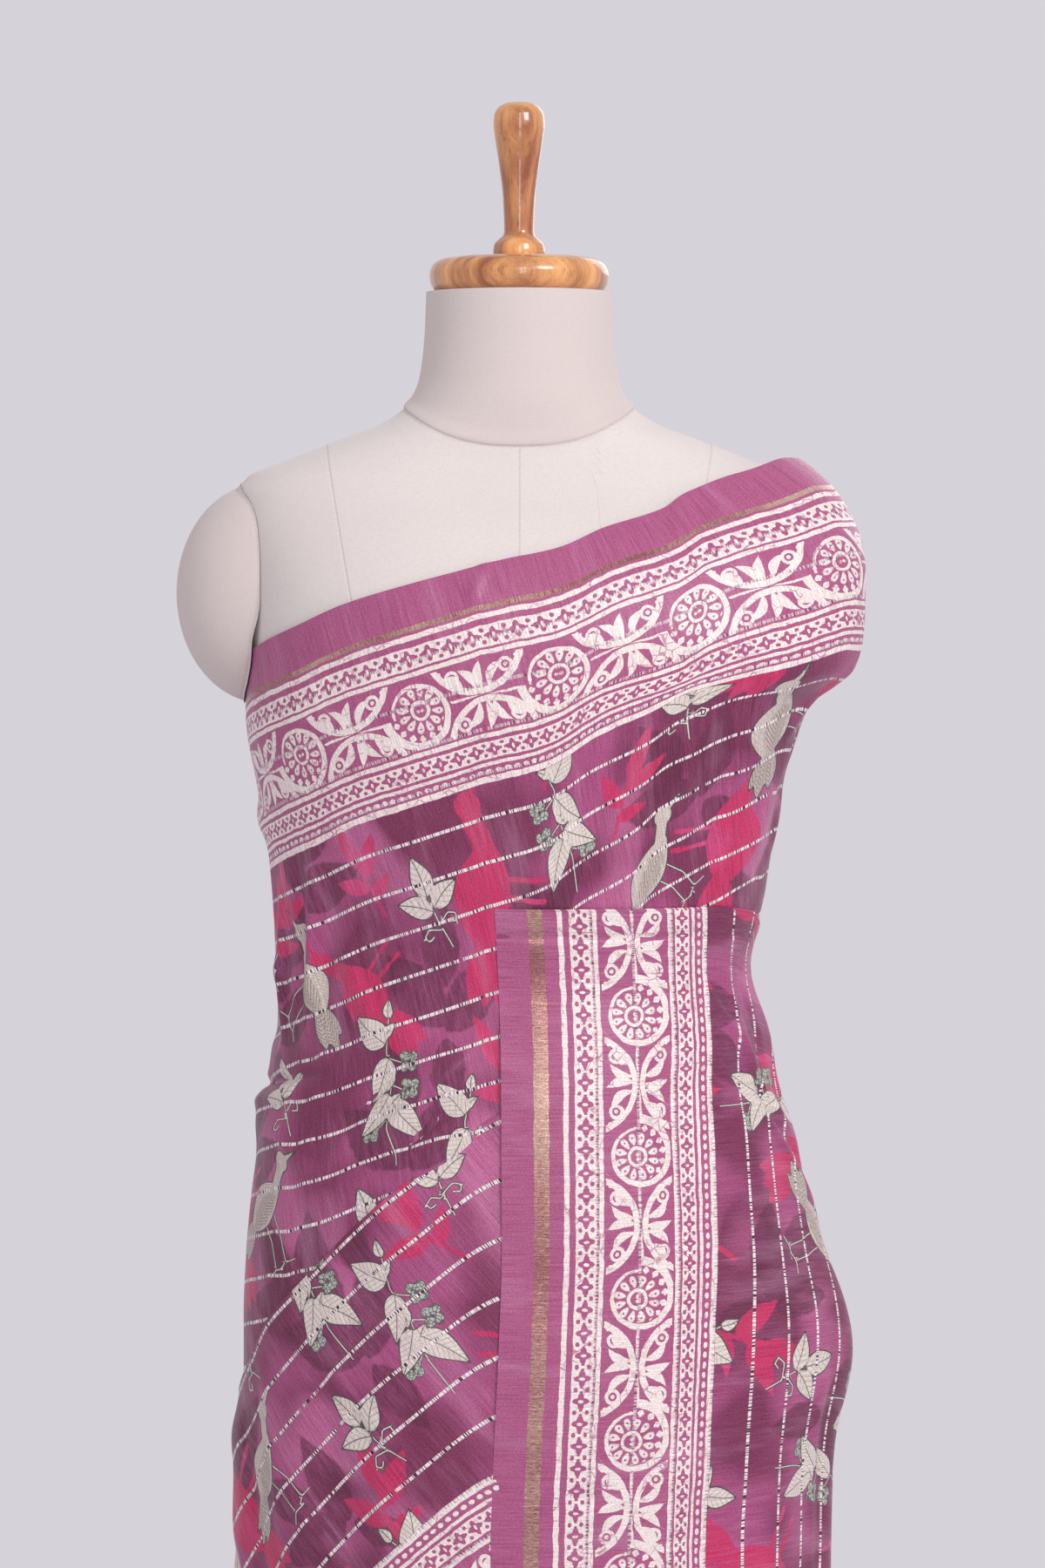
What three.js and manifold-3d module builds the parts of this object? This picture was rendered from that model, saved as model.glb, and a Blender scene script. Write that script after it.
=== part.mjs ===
// A saree draped on a limbless padded dress form that stands on a pole and a round base.
// Millimetres, +Z up, +X to the viewer's right, +Y to the back. The origin is the middle of the base's underside.
// A turn is an angle round the body in degrees: 0 at the front, 90 at the viewer's right, 180 at the back.
import * as THREE from 'three';
import { mergeVertices } from 'three/addons/utils/BufferGeometryUtils.js';
import Module from 'manifold-3d';

// Cloth
const WALL = 1.2;
const LAYER_PITCH = 2.0;
const TURN_STEP = 7.5;
const SEAM_TURN = 0.18;
const FORM_CLEARANCE = 0.4;
const MEAN_RADIUS = 150;
const TORSO_COLUMNS = 36;
const TORSO_STEPS = 13;
const SKIRT_TOP = 1000;
const SKIRT_HEM = 25;
const PANEL_HEM = 420;
const SIDE_SEAM = 97.5;
const BACK_SEAM = -127.5;
const PLEAT_EDGE = 22.5;
const PLEAT_COUNT = 7;
const PLEAT_TOP = 985;
const PLEAT_HEM = 27;

// Form and stand
const TORSO_BOTTOM = 700;
const BLOCK_BOTTOM = 1444.3;
const BLOCK_RADIUS = 52.3;
const BLOCK_HEIGHT = 20;
const HANDLE_TOP = 1554;
const CAP_CENTRE = { x: 150, y: 0, z: 1269 };
const CAP_RADII = { x: 50, y: 50, z: 64 };
const POLE_RADIUS = 16;
const BASE_RADIUS = 175;
const BASE_HEIGHT = 12;
const SEAT_GAP = 0.3;

// A short table: names of the columns, then one row for each section or edge point.
function table(names, rows) {
  return rows.map((row) => Object.fromEntries(names.map((name, index) => [name, row[index]])));
}

// Outer form of the padded torso and neck.
const FORM = table(['height', 'half', 'front', 'back'], [
  [700, 140, 100, 117],
  [730, 152, 106, 123],
  [800, 155, 108, 125],
  [864, 155, 108, 124],
  [912, 152, 105, 119],
  [953, 146, 100, 112],
  [987, 137, 96, 106],
  [1015, 132, 93, 101],
  [1051, 129.6, 92, 98],
  [1080, 135, 94, 97],
  [1110, 141, 98, 99],
  [1150, 148, 103, 103],
  [1190, 155, 112, 108],
  [1224, 156.5, 118, 114],
  [1265, 160, 113, 117],
  [1300, 164, 95, 111],
  [1326, 165, 72, 92],
  [1337, 158, 64, 84],
  [1347, 134, 59, 77],
  [1358, 106, 57, 71],
  [1368, 80, 57, 66],
  [1378, 66, 57, 62],
  [1395, 58, 55, 58],
  [1420, 55, 53, 55],
  [1444, 54, 53, 54],
]);

// Inner face of the first layer of cloth.
const CLOTH = table(['height', 'right', 'left', 'front', 'back'], [
  [25, 231, 226, 172, 186],
  [200, 214, 206, 158, 170],
  [420, 196, 184, 134, 148],
  [600, 178, 166, 118, 133],
  [698, 174, 159.5, 113, 129],
  [759, 174, 160, 114, 130],
  [800, 173.5, 160, 115, 131],
  [845, 171, 159.5, 114.5, 130],
  [882, 167, 157.5, 112.5, 127],
  [918, 160, 154.5, 110, 123],
  [953, 151.5, 149.5, 106, 117],
  [987, 141, 143, 102, 111],
  [1015, 138, 138.5, 99.5, 106],
  [1051, 132.6, 140, 97, 101],
  [1090, 142, 142.5, 102, 102],
  [1118, 147, 146, 106, 105],
  [1135, 149, 148.5, 108, 107],
  [1155, 151.5, 152.5, 110, 109],
  [1175, 158, 156, 114, 112],
  [1198, 166, 158.5, 118, 115],
  [1211, 174, 158.5, 119.5, 117],
  [1218, 184, 158, 120, 118],
  [1226, 194, 158, 120, 119],
  [1240, 199.5, 159, 120, 120],
  [1260, 201, 161, 116, 120],
  [1280, 201, 163, 109, 118],
  [1298, 199, 165, 99, 114],
  [1311, 194, 168, 89, 107],
  [1328, 184, 168, 76, 95],
  [1341, 171, 156, 68, 87],
  [1348, 161, 140, 64, 82],
]);

// Squareness of the sections: 2 is an ellipse.
const SQUARENESS = table(['height', 'power'], [
  [25, 2.0],
  [700, 2.15],
  [900, 2.2],
  [1050, 2.1],
  [1240, 2.25],
  [1348, 2.05],
  [1400, 2.0],
]);

// Place of each stretch in the stack of cloth, in layers, by height.
const LAYERS = table(['height', 'skirt', 'chest', 'hip', 'panel', 'fall', 'wrap'], [
  [0, 0, 1, 2, 3, 3.7, 2],
  [600, 0, 1, 2, 3, 3.4, 2],
  [790, -0.6, 0.9, 2, 3.1, 3.2, 2],
  [850, -0.6, 0.9, 2, 3.1, 3.1, 0.9],
  [1004, -0.6, 0.9, 2, 3.1, 2.8, 0.9],
  [1046, 0, 0, 1, 1.1, 1.1, 0],
  [1090, 0, 0, 1, 1.1, 1.1, 0],
  [1125, 0, 0, 1, 1.1, 0, 0],
]);

// Upper edge of the chest half, from the back seam across the chest to the shoulder.
const CHEST_EDGE = table(['turn', 'height'], [
  [-127.5, 1135],
  [-110, 1187],
  [-90, 1226],
  [-63, 1243],
  [-49, 1252],
  [-35, 1264],
  [-20, 1275],
  [-6, 1286],
  [5, 1295],
  [13, 1307],
  [25, 1319],
  [30, 1327],
  [45, 1338],
  [72, 1347],
  [97.5, 1347],
]);

// Lower edge of the chest half, under the hip half and the front panel.
const CHEST_LOW = table(['turn', 'height'], [
  [-127.5, 700],
  [-90, 745],
  [-60, 805],
  [-30, 868],
  [0, 935],
  [22.5, 1003],
  [60, 1024],
  [97.5, 1055],
]);

// Lengthwise fold at the top of the hip half, and its lower border.
const HIP_FOLD = table(['turn', 'height'], [
  [-127.5, 762],
  [-110, 775],
  [-90, 797],
  [-70, 828],
  [-61, 852],
  [-52, 870],
  [-44, 887],
  [-33, 913],
  [-21, 939],
  [-3, 976],
  [22.5, 994],
]);
const HIP_LOW = table(['turn', 'height'], [
  [-127.5, 190],
  [-90, 300],
  [-65, 410],
  [-45, 490],
  [-26, 548],
  [-4, 604],
  [22.5, 650],
]);

// Edges of the wrap that goes from the pleats round the viewer's right and the back.
const WRAP_EDGE = table(['turn', 'height'], [
  [-337.5, 985],
  [-300, 1006],
  [-262.5, 1040],
  [-220, 1056],
  [-180, 1064],
  [-150, 1092],
  [-127.5, 1135],
]);
const WRAP_LOW = table(['turn', 'height'], [
  [-337.5, 44],
  [-262.5, 62],
  [-180, 112],
  [-127.5, 190],
]);

// Upper edge of the front panel by its share of the width, and its upright edge by height.
const PANEL_TOP = table(['share', 'height'], [
  [0, 1092],
  [0.5, 1091],
  [0.72, 1086],
  [0.9, 1074],
  [1, 1068],
]);
const PANEL_EDGE = table(['height', 'turn'], [
  [420, -4.6],
  [729, -4.6],
  [778, -4.1],
  [845, -3.1],
  [900, -2.6],
  [973, -3.1],
  [1040, -4.0],
  [1092, -4.8],
]);

// Free edge of the loose end down the back.
const FALL_EDGE = table(['height', 'turn'], [
  [420, 199],
  [700, 190],
  [850, 182],
  [950, 174],
  [1040, 163],
  [1120, 150],
  [1200, 137],
  [1250, 129],
  [1290, 122],
  [1320, 115],
  [1338, 108],
  [1346, 103],
]);

// Largest soft folds of each stretch where it shows: two ends on the body, half width and rise.
const foldTable = (rows) => table(['turnA', 'heightA', 'turnB', 'heightB', 'width', 'rise'], rows);
const FOLDS = {
  chest: foldTable([
    [-112, 967, -38, 950, 14, 3],
    [-104, 1004, -66, 998, 9, 2],
    [-38, 1032, -6, 992, 13, 3],
    [-118, 1150, -66, 1128, 10, 4],
    [52, 1250, 58, 1100, 22, 3],
    [78, 1190, 58, 1100, 16, 4],
  ]),
  hip: foldTable([
    [-100, 781, -62, 775, 16, 3.5],
    [-80, 800, -66, 520, 20, 6],
    [-52, 830, -40, 560, 20, 4],
    [-30, 860, -18, 640, 18, 3],
    [-112, 760, -110, 400, 20, 5],
  ]),
  loose: foldTable([
    [38, 836, 132, 828, 46, 15],
    [20, 1040, 26, 470, 22, 3],
    [48, 1040, 52, 480, 22, 4],
    [80, 1020, 78, 480, 20, 4],
    [108, 1210, 124, 640, 22, 5],
    [136, 1100, 152, 500, 22, 6],
    [160, 1000, 176, 480, 20, 5],
  ]),
  wrap: foldTable([
    [-156, 1050, -145, 460, 20, 5],
    [-136, 1085, -133, 430, 18, 4],
    [-300, 380, -302, 90, 24, 5],
  ]),
};
const HEM_FOLD_COUNT = 11;
const HEM_FOLD_RISE = 11;
const HEM_FOLD_START = 690;

const radians = THREE.MathUtils.degToRad;
const smoothstep = THREE.MathUtils.smoothstep;
const lerp = THREE.MathUtils.lerp;

// Smooth curve through a table's rows that never overshoots them. The key column rises.
function along(rows, key, name, at) {
  const last = rows.length - 1;
  if (at <= rows[0][key]) return rows[0][name];
  if (at >= rows[last][key]) return rows[last][name];
  const slope = (row) => (rows[row + 1][name] - rows[row][name]) / (rows[row + 1][key] - rows[row][key]);
  const tangent = (row) => {
    if (row === 0) return slope(0);
    if (row === last) return slope(last - 1);
    const product = slope(row - 1) * slope(row);
    return product <= 0 ? 0 : (2 * product) / (slope(row - 1) + slope(row));
  };
  let row = 0;
  while (rows[row + 1][key] < at) row += 1;
  const span = rows[row + 1][key] - rows[row][key];
  const t = (at - rows[row][key]) / span;
  const start = rows[row][name] * (1 + 2 * t) * (1 - t) ** 2 + tangent(row) * span * t * (1 - t) ** 2;
  const end = rows[row + 1][name] * t * t * (3 - 2 * t) - tangent(row + 1) * span * t * t * (1 - t);
  return start + end;
}

// Point of a rounded section at a turn, for half widths to the right and left and depths to front and back.
function sectionPoint(turn, height, sides) {
  const power = 2 / along(SQUARENESS, 'height', 'power', height);
  const sine = Math.sin(radians(turn));
  const cosine = Math.cos(radians(turn));
  const across = sine >= 0 ? sides.right : sides.left;
  const deep = cosine >= 0 ? sides.front : sides.back;
  const x = Math.sign(sine) * across * Math.abs(sine) ** power;
  const y = -Math.sign(cosine) * deep * Math.abs(cosine) ** power;
  return new THREE.Vector3(x, y, height);
}

function formSides(height, growth) {
  const half = along(FORM, 'height', 'half', height) + growth;
  return {
    right: half,
    left: half,
    front: along(FORM, 'height', 'front', height) + growth,
    back: along(FORM, 'height', 'back', height) + growth,
  };
}

function clothSides(height) {
  const form = height > TORSO_BOTTOM ? formSides(height, FORM_CLEARANCE) : { right: 0, left: 0, front: 0, back: 0 };
  const side = (name) => Math.max(along(CLOTH, 'height', name, height), form[name]);
  return { right: side('right'), left: side('left'), front: side('front'), back: side('back') };
}

// Shortest turn from one angle to another, so that folds are found from both sides of the back.
function turnBetween(from, to) {
  return THREE.MathUtils.euclideanModulo(to - from + 180, 360) - 180;
}

// Rise of one soft fold at a place on the body: a rounded ridge or trough that fades at its ends.
function foldRise(fold, turn, height) {
  const arc = radians(MEAN_RADIUS);
  const runTurn = turnBetween(fold.turnA, fold.turnB) * arc;
  const runHeight = fold.heightB - fold.heightA;
  const length = Math.hypot(runTurn, runHeight);
  const offTurn = turnBetween(fold.turnA, turn) * arc;
  const offHeight = height - fold.heightA;
  const t = (offTurn * runTurn + offHeight * runHeight) / length ** 2;
  if (t <= 0 || t >= 1) return 0;
  const aside = (offTurn * runHeight - offHeight * runTurn) / length;
  return fold.rise * Math.sin(Math.PI * t) * Math.exp(-((aside / fold.width) ** 2));
}

function hemFoldRise(turn, height) {
  const share = smoothstep(HEM_FOLD_START - height, 0, HEM_FOLD_START - SKIRT_HEM);
  const besidePleats = smoothstep(Math.abs(turnBetween(0, turn)), PLEAT_EDGE, 2 * PLEAT_EDGE);
  const uneven = Math.sin(radians(turn * HEM_FOLD_COUNT + 25 * Math.sin(radians(2 * turn))));
  return HEM_FOLD_RISE * share * uneven * besidePleats;
}

// First layer of cloth, which flares in soft folds towards the hem.
function clothBase(turn, height) {
  const point = sectionPoint(turn, height, clothSides(height));
  const scale = 1 + hemFoldRise(turn, height) / Math.hypot(point.x, point.y);
  return new THREE.Vector3(point.x * scale, point.y * scale, height);
}

// Height of the pleats by height above the floor: flat at the waist, deepest at the hem.
function pleatDepth(height) {
  return lerp(13, 1.4, smoothstep(height, 0, PLEAT_TOP));
}

// Room that the outer layers leave for the pleats under them.
function pleatRoom(turn, height) {
  const beside = 1 - smoothstep(Math.abs(turnBetween(0, turn)), PLEAT_EDGE + 1, PLEAT_EDGE + 12);
  const below = 1 - smoothstep(height, PLEAT_TOP + 2, PLEAT_TOP + 30);
  return (LAYER_PITCH + pleatDepth(height)) * beside * below;
}

// Point on the body moved out from the first layer by a lift.
function liftedPoint(turn, height, lift) {
  const step = 0.5;
  const here = clothBase(turn, height);
  const across = clothBase(turn + step, height).sub(clothBase(turn - step, height));
  const down = clothBase(turn, height - step).sub(here);
  const normal = down.cross(across).normalize();
  return here.addScaledVector(normal, lift);
}

// Closed mesh of a wall from two grids of points, first column to the viewer's left and first row on top.
function wallGeometry(outer, inner, ringed) {
  const columns = outer.length;
  const rows = outer[0].length;
  const points = [...outer.flat(), ...inner.flat()];
  const out = (column, row) => (column % columns) * rows + row;
  const into = (column, row) => columns * rows + out(column, row);
  const faces = [];
  const quad = (a, b, c, d) => faces.push(a, b, c, a, c, d);
  const spans = ringed ? columns : columns - 1;
  for (let column = 0; column < spans; column += 1) {
    const next = column + 1;
    for (let row = 0; row < rows - 1; row += 1) {
      quad(out(column, row), out(column, row + 1), out(next, row + 1), out(next, row));
      quad(into(column, row), into(next, row), into(next, row + 1), into(column, row + 1));
    }
    quad(out(column, 0), out(next, 0), into(next, 0), into(column, 0));
    quad(out(column, rows - 1), into(column, rows - 1), into(next, rows - 1), out(next, rows - 1));
  }
  for (let row = 0; row < rows - 1 && !ringed; row += 1) {
    const end = columns - 1;
    quad(out(0, row), into(0, row), into(0, row + 1), out(0, row + 1));
    quad(out(end, row), out(end, row + 1), into(end, row + 1), into(end, row));
  }
  return meshGeometry(points, faces);
}

function meshGeometry(points, faces) {
  const geometry = new THREE.BufferGeometry().setFromPoints(points);
  geometry.setIndex(faces);
  geometry.computeVertexNormals();
  return geometry;
}

// Cloth sheet: place gives the turn and height of a share across and down, lift the distance to its inner face.
function sheetGeometry({ columns, rows, place, lift, ringed = false }) {
  const outer = [];
  const inner = [];
  for (let column = 0; column <= columns - (ringed ? 1 : 0); column += 1) {
    const places = Array.from({ length: rows + 1 }, (_, row) => place(column / columns, row / rows));
    inner.push(places.map(([turn, height]) => liftedPoint(turn, height, lift(turn, height))));
    outer.push(places.map(([turn, height]) => liftedPoint(turn, height, lift(turn, height) + WALL)));
  }
  return wallGeometry(outer, inner, ringed);
}

// Lift of a stretch: its place in the stack, the pleats under it and its own folds.
function layerLift(name, folds = []) {
  return (turn, height) => {
    const stack = LAYER_PITCH * along(LAYERS, 'height', name, height) + pleatRoom(turn, height);
    return folds.reduce((sum, fold) => sum + foldRise(fold, turn, height), stack);
  };
}

function skirtGeometry() {
  const rows = 14;
  const crowding = 1.3;
  return sheetGeometry({
    columns: 360 / TURN_STEP,
    rows,
    ringed: true,
    place: (across, down) => [-180 + 360 * across, lerp(SKIRT_TOP, SKIRT_HEM, down ** crowding)],
    lift: (turn, height) => LAYER_PITCH * along(LAYERS, 'height', 'skirt', height),
  });
}

function frontPleatGeometry() {
  const perPleat = 4;
  const knifeEdge = 0.78;
  return sheetGeometry({
    columns: PLEAT_COUNT * perPleat,
    rows: 9,
    place: (across, down) => {
      const turn = lerp(-PLEAT_EDGE + SEAM_TURN, PLEAT_EDGE - SEAM_TURN, across);
      return [turn, lerp(PLEAT_TOP, PLEAT_HEM, down)];
    },
    lift: (turn, height) => {
      const share = THREE.MathUtils.euclideanModulo(((turn + PLEAT_EDGE) / (2 * PLEAT_EDGE)) * PLEAT_COUNT, 1);
      const wave = share < knifeEdge ? share / knifeEdge : (1 - share) / (1 - knifeEdge);
      return LAYER_PITCH + pleatDepth(height) * wave;
    },
  });
}

function chestDrapeGeometry() {
  return sheetGeometry({
    columns: (SIDE_SEAM - BACK_SEAM) / TURN_STEP,
    rows: 18,
    place: (across, down) => {
      const turn = lerp(BACK_SEAM + SEAM_TURN, SIDE_SEAM - SEAM_TURN, across);
      const top = along(CHEST_EDGE, 'turn', 'height', turn);
      return [turn, lerp(top, along(CHEST_LOW, 'turn', 'height', turn), down)];
    },
    lift: layerLift('chest', FOLDS.chest),
  });
}

function hipDrapeGeometry() {
  return sheetGeometry({
    columns: (PLEAT_EDGE - BACK_SEAM) / TURN_STEP,
    rows: 12,
    place: (across, down) => {
      const turn = lerp(BACK_SEAM + SEAM_TURN, PLEAT_EDGE - SEAM_TURN, across);
      const top = along(HIP_FOLD, 'turn', 'height', turn);
      return [turn, lerp(top, along(HIP_LOW, 'turn', 'height', turn), down)];
    },
    lift: layerLift('hip', FOLDS.hip),
  });
}

function backWrapGeometry() {
  const start = PLEAT_EDGE - 360 + SEAM_TURN;
  const end = BACK_SEAM - SEAM_TURN;
  const crowding = 1.3;
  return sheetGeometry({
    columns: Math.round((end - start) / TURN_STEP),
    rows: 15,
    place: (across, down) => {
      const turn = lerp(start, end, across);
      const top = along(WRAP_EDGE, 'turn', 'height', turn);
      return [turn, lerp(top, along(WRAP_LOW, 'turn', 'height', turn), down ** crowding)];
    },
    lift: layerLift('wrap', FOLDS.wrap),
  });
}

function frontPanelGeometry() {
  const columns = SIDE_SEAM / TURN_STEP + 1;
  const crowding = 1.2;
  return sheetGeometry({
    columns,
    rows: 15,
    place: (across, down) => {
      const height = lerp(along(PANEL_TOP, 'share', 'height', across), PANEL_HEM, down ** crowding);
      const turn = (across * columns - 1) * TURN_STEP;
      if (across === 0) return [along(PANEL_EDGE, 'height', 'turn', height), height];
      return [across < 1 ? turn : turn - SEAM_TURN, height];
    },
    lift: layerLift('panel', FOLDS.loose),
  });
}

function backFallGeometry() {
  const top = 1346;
  const crowding = 1.35;
  return sheetGeometry({
    columns: 14,
    rows: 18,
    place: (across, down) => {
      const height = lerp(top, PANEL_HEM, down ** crowding);
      return [lerp(SIDE_SEAM + SEAM_TURN, along(FALL_EDGE, 'height', 'turn', height), across), height];
    },
    lift: layerLift('fall', FOLDS.loose),
  });
}

// Closed solid through rings of points, from the lowest to the highest.
function loftGeometry(rings) {
  const count = rings[0].length;
  const points = rings.flat();
  const faces = [];
  for (let ring = 0; ring < rings.length - 1; ring += 1) {
    for (let index = 0; index < count; index += 1) {
      const a = ring * count + index;
      const b = ring * count + ((index + 1) % count);
      faces.push(a, b, b + count, a, b + count, a + count);
    }
  }
  const centre = (ring) => ring.reduce((sum, point) => sum.add(point), new THREE.Vector3()).divideScalar(count);
  const low = points.push(centre(rings[0])) - 1;
  const high = points.push(centre(rings[rings.length - 1])) - 1;
  const topRing = (rings.length - 1) * count;
  for (let index = 0; index < count; index += 1) {
    const next = (index + 1) % count;
    faces.push(low, next, index, high, topRing + index, topRing + next);
  }
  return meshGeometry(points, faces);
}

// Torso and neck, grown all round. The rings follow the table's rows where the shoulders turn.
function torsoGeometry(growth) {
  const shoulder = 1300;
  const even = Array.from({ length: TORSO_STEPS }, (_, step) => lerp(TORSO_BOTTOM, shoulder, step / TORSO_STEPS));
  const upper = FORM.map((row) => row.height).filter((height) => height >= shoulder);
  const ring = (height) => Array.from({ length: TORSO_COLUMNS }, (_, index) => {
    return sectionPoint((index * 360) / TORSO_COLUMNS, height, formSides(height, growth));
  });
  return loftGeometry([...even, ...upper].map(ring));
}

// Envelope of the cloth where it passes between the torso and an arm cap.
function underarmGeometry() {
  const low = 1190;
  const high = 1248;
  const steps = 6;
  const count = 48;
  const growth = new THREE.Vector3(1.014, 1.02, 1);
  const ring = (height) => Array.from({ length: count }, (_, index) => {
    return sectionPoint((index * 360) / count, height, clothSides(height)).multiply(growth);
  });
  return loftGeometry(Array.from({ length: steps + 1 }, (_, step) => ring(lerp(low, high, step / steps))));
}

const wasm = await Module();
wasm.setup();

function toManifold(geometry) {
  const bare = geometry.clone();
  bare.deleteAttribute('normal');
  bare.deleteAttribute('uv');
  const merged = mergeVertices(bare, 0.001);
  return new wasm.Manifold(new wasm.Mesh({
    numProp: 3,
    vertProperties: new Float32Array(merged.attributes.position.array),
    triVerts: new Uint32Array(merged.index.array),
  }));
}

function fromManifold(solid) {
  const mesh = solid.getMesh();
  const geometry = new THREE.BufferGeometry();
  geometry.setAttribute('position', new THREE.BufferAttribute(mesh.vertProperties, 3));
  geometry.setIndex(new THREE.BufferAttribute(mesh.triVerts, 1));
  geometry.computeVertexNormals();
  return geometry;
}

// Padded arm cap against the torso's side. The cap on the bare side also clears the cloth under it.
function armCapGeometry(side, besideCloth) {
  const cap = new THREE.SphereGeometry(1, 24, 14);
  cap.rotateX(Math.PI / 2);
  cap.scale(CAP_RADII.x, CAP_RADII.y, CAP_RADII.z);
  cap.translate(side * CAP_CENTRE.x, CAP_CENTRE.y, CAP_CENTRE.z);
  let solid = toManifold(cap).subtract(toManifold(torsoGeometry(SEAT_GAP)));
  if (besideCloth) solid = solid.subtract(toManifold(underarmGeometry()));
  return fromManifold(solid);
}

function turned(profile, segments) {
  const geometry = new THREE.LatheGeometry(profile.map(([radius, height]) => new THREE.Vector2(radius, height)), segments);
  geometry.rotateX(Math.PI / 2);
  return geometry;
}

function neckBlockGeometry() {
  const edge = 5;
  const top = BLOCK_BOTTOM + BLOCK_HEIGHT;
  return turned([
    [0, BLOCK_BOTTOM],
    [BLOCK_RADIUS - edge, BLOCK_BOTTOM],
    [BLOCK_RADIUS - 1, BLOCK_BOTTOM + edge],
    [BLOCK_RADIUS, BLOCK_BOTTOM + BLOCK_HEIGHT / 2],
    [BLOCK_RADIUS - 2, top - edge],
    [BLOCK_RADIUS - 8, top - 1],
    [BLOCK_RADIUS - 16, top],
    [0, top],
  ], 32);
}

function handleGeometry() {
  const bottom = BLOCK_BOTTOM + BLOCK_HEIGHT + SEAT_GAP;
  return turned([
    [0, bottom],
    [15, bottom],
    [15.2, bottom + 6],
    [12.5, bottom + 11],
    [8.8, bottom + 15],
    [9.6, bottom + 35],
    [13, bottom + 62],
    [15, bottom + 76],
    [14.4, bottom + 83],
    [9, bottom + 88],
    [0, HANDLE_TOP],
  ], 24);
}

function poleGeometry() {
  const bottom = BASE_HEIGHT + SEAT_GAP;
  const length = TORSO_BOTTOM - SEAT_GAP - bottom;
  const geometry = new THREE.CylinderGeometry(POLE_RADIUS, POLE_RADIUS, length, 20);
  geometry.rotateX(Math.PI / 2);
  geometry.translate(0, 0, bottom + length / 2);
  return geometry;
}

function baseGeometry() {
  return turned([
    [0, 0],
    [BASE_RADIUS - 2, 0],
    [BASE_RADIUS, 2],
    [BASE_RADIUS, BASE_HEIGHT - 5],
    [BASE_RADIUS - 5, BASE_HEIGHT],
    [0, BASE_HEIGHT],
  ], 40);
}

const silk = new THREE.MeshStandardMaterial({ color: 0x96406e, roughness: 0.55, metalness: 0 });
const cotton = new THREE.MeshStandardMaterial({ color: 0xded4d0, roughness: 0.9, metalness: 0 });
const wood = new THREE.MeshStandardMaterial({ color: 0xa8622c, roughness: 0.3, metalness: 0 });
const steel = new THREE.MeshStandardMaterial({ color: 0xd8d6d4, roughness: 0.4, metalness: 0.2 });

function piece(name, geometry, material) {
  const mesh = new THREE.Mesh(geometry, material);
  mesh.name = name;
  return mesh;
}

const saree = new THREE.Group();
saree.add(
  piece('saree_skirt', skirtGeometry(), silk),
  piece('saree_front_pleats', frontPleatGeometry(), silk),
  piece('saree_back_wrap', backWrapGeometry(), silk),
  piece('saree_chest_drape', chestDrapeGeometry(), silk),
  piece('saree_hip_drape', hipDrapeGeometry(), silk),
  piece('saree_back_fall', backFallGeometry(), silk),
  piece('saree_front_panel', frontPanelGeometry(), silk),
);

const dressForm = new THREE.Group();
dressForm.add(
  piece('form_torso', torsoGeometry(0), cotton),
  piece('form_arm_cap_right', armCapGeometry(1, false), cotton),
  piece('form_arm_cap_left', armCapGeometry(-1, true), cotton),
  piece('neck_block', neckBlockGeometry(), wood),
  piece('block_handle', handleGeometry(), wood),
  piece('stand_pole', poleGeometry(), steel),
  piece('stand_base', baseGeometry(), steel),
);

const sareeOnForm = new THREE.Group();
sareeOnForm.add(saree, dressForm);
export default sareeOnForm;
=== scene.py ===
"""A printed silk saree draped on a limbless padded dress form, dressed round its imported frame.

Sizes are millimetres in the tables, as in the part's source, and metres in the meshes.
A turn is an angle round the body in degrees: 0 at the front, 90 at the viewer's right, 180 at the back.
Cloth coordinates are u, along the saree's length, and v, across it from the shoulder border, in millimetres.
"""

from __future__ import annotations

import logging
import math
from dataclasses import dataclass, field
from enum import Enum
from functools import reduce

import bpy
import numpy as np
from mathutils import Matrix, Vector

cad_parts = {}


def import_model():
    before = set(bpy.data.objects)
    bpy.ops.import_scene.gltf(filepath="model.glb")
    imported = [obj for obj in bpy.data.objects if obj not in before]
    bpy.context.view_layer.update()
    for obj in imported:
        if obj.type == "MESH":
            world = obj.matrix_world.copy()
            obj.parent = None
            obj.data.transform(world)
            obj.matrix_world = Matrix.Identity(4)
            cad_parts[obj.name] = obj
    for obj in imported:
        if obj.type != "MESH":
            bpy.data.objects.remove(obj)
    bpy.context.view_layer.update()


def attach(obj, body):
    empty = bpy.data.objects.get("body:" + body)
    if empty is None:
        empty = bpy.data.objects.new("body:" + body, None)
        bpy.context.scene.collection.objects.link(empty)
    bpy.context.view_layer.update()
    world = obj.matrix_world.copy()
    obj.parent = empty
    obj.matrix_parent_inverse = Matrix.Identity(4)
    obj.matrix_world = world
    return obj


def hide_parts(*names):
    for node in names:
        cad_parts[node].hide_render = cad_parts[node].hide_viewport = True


LOG = logging.getLogger("saree")
MM = 0.001
Array = np.ndarray


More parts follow.
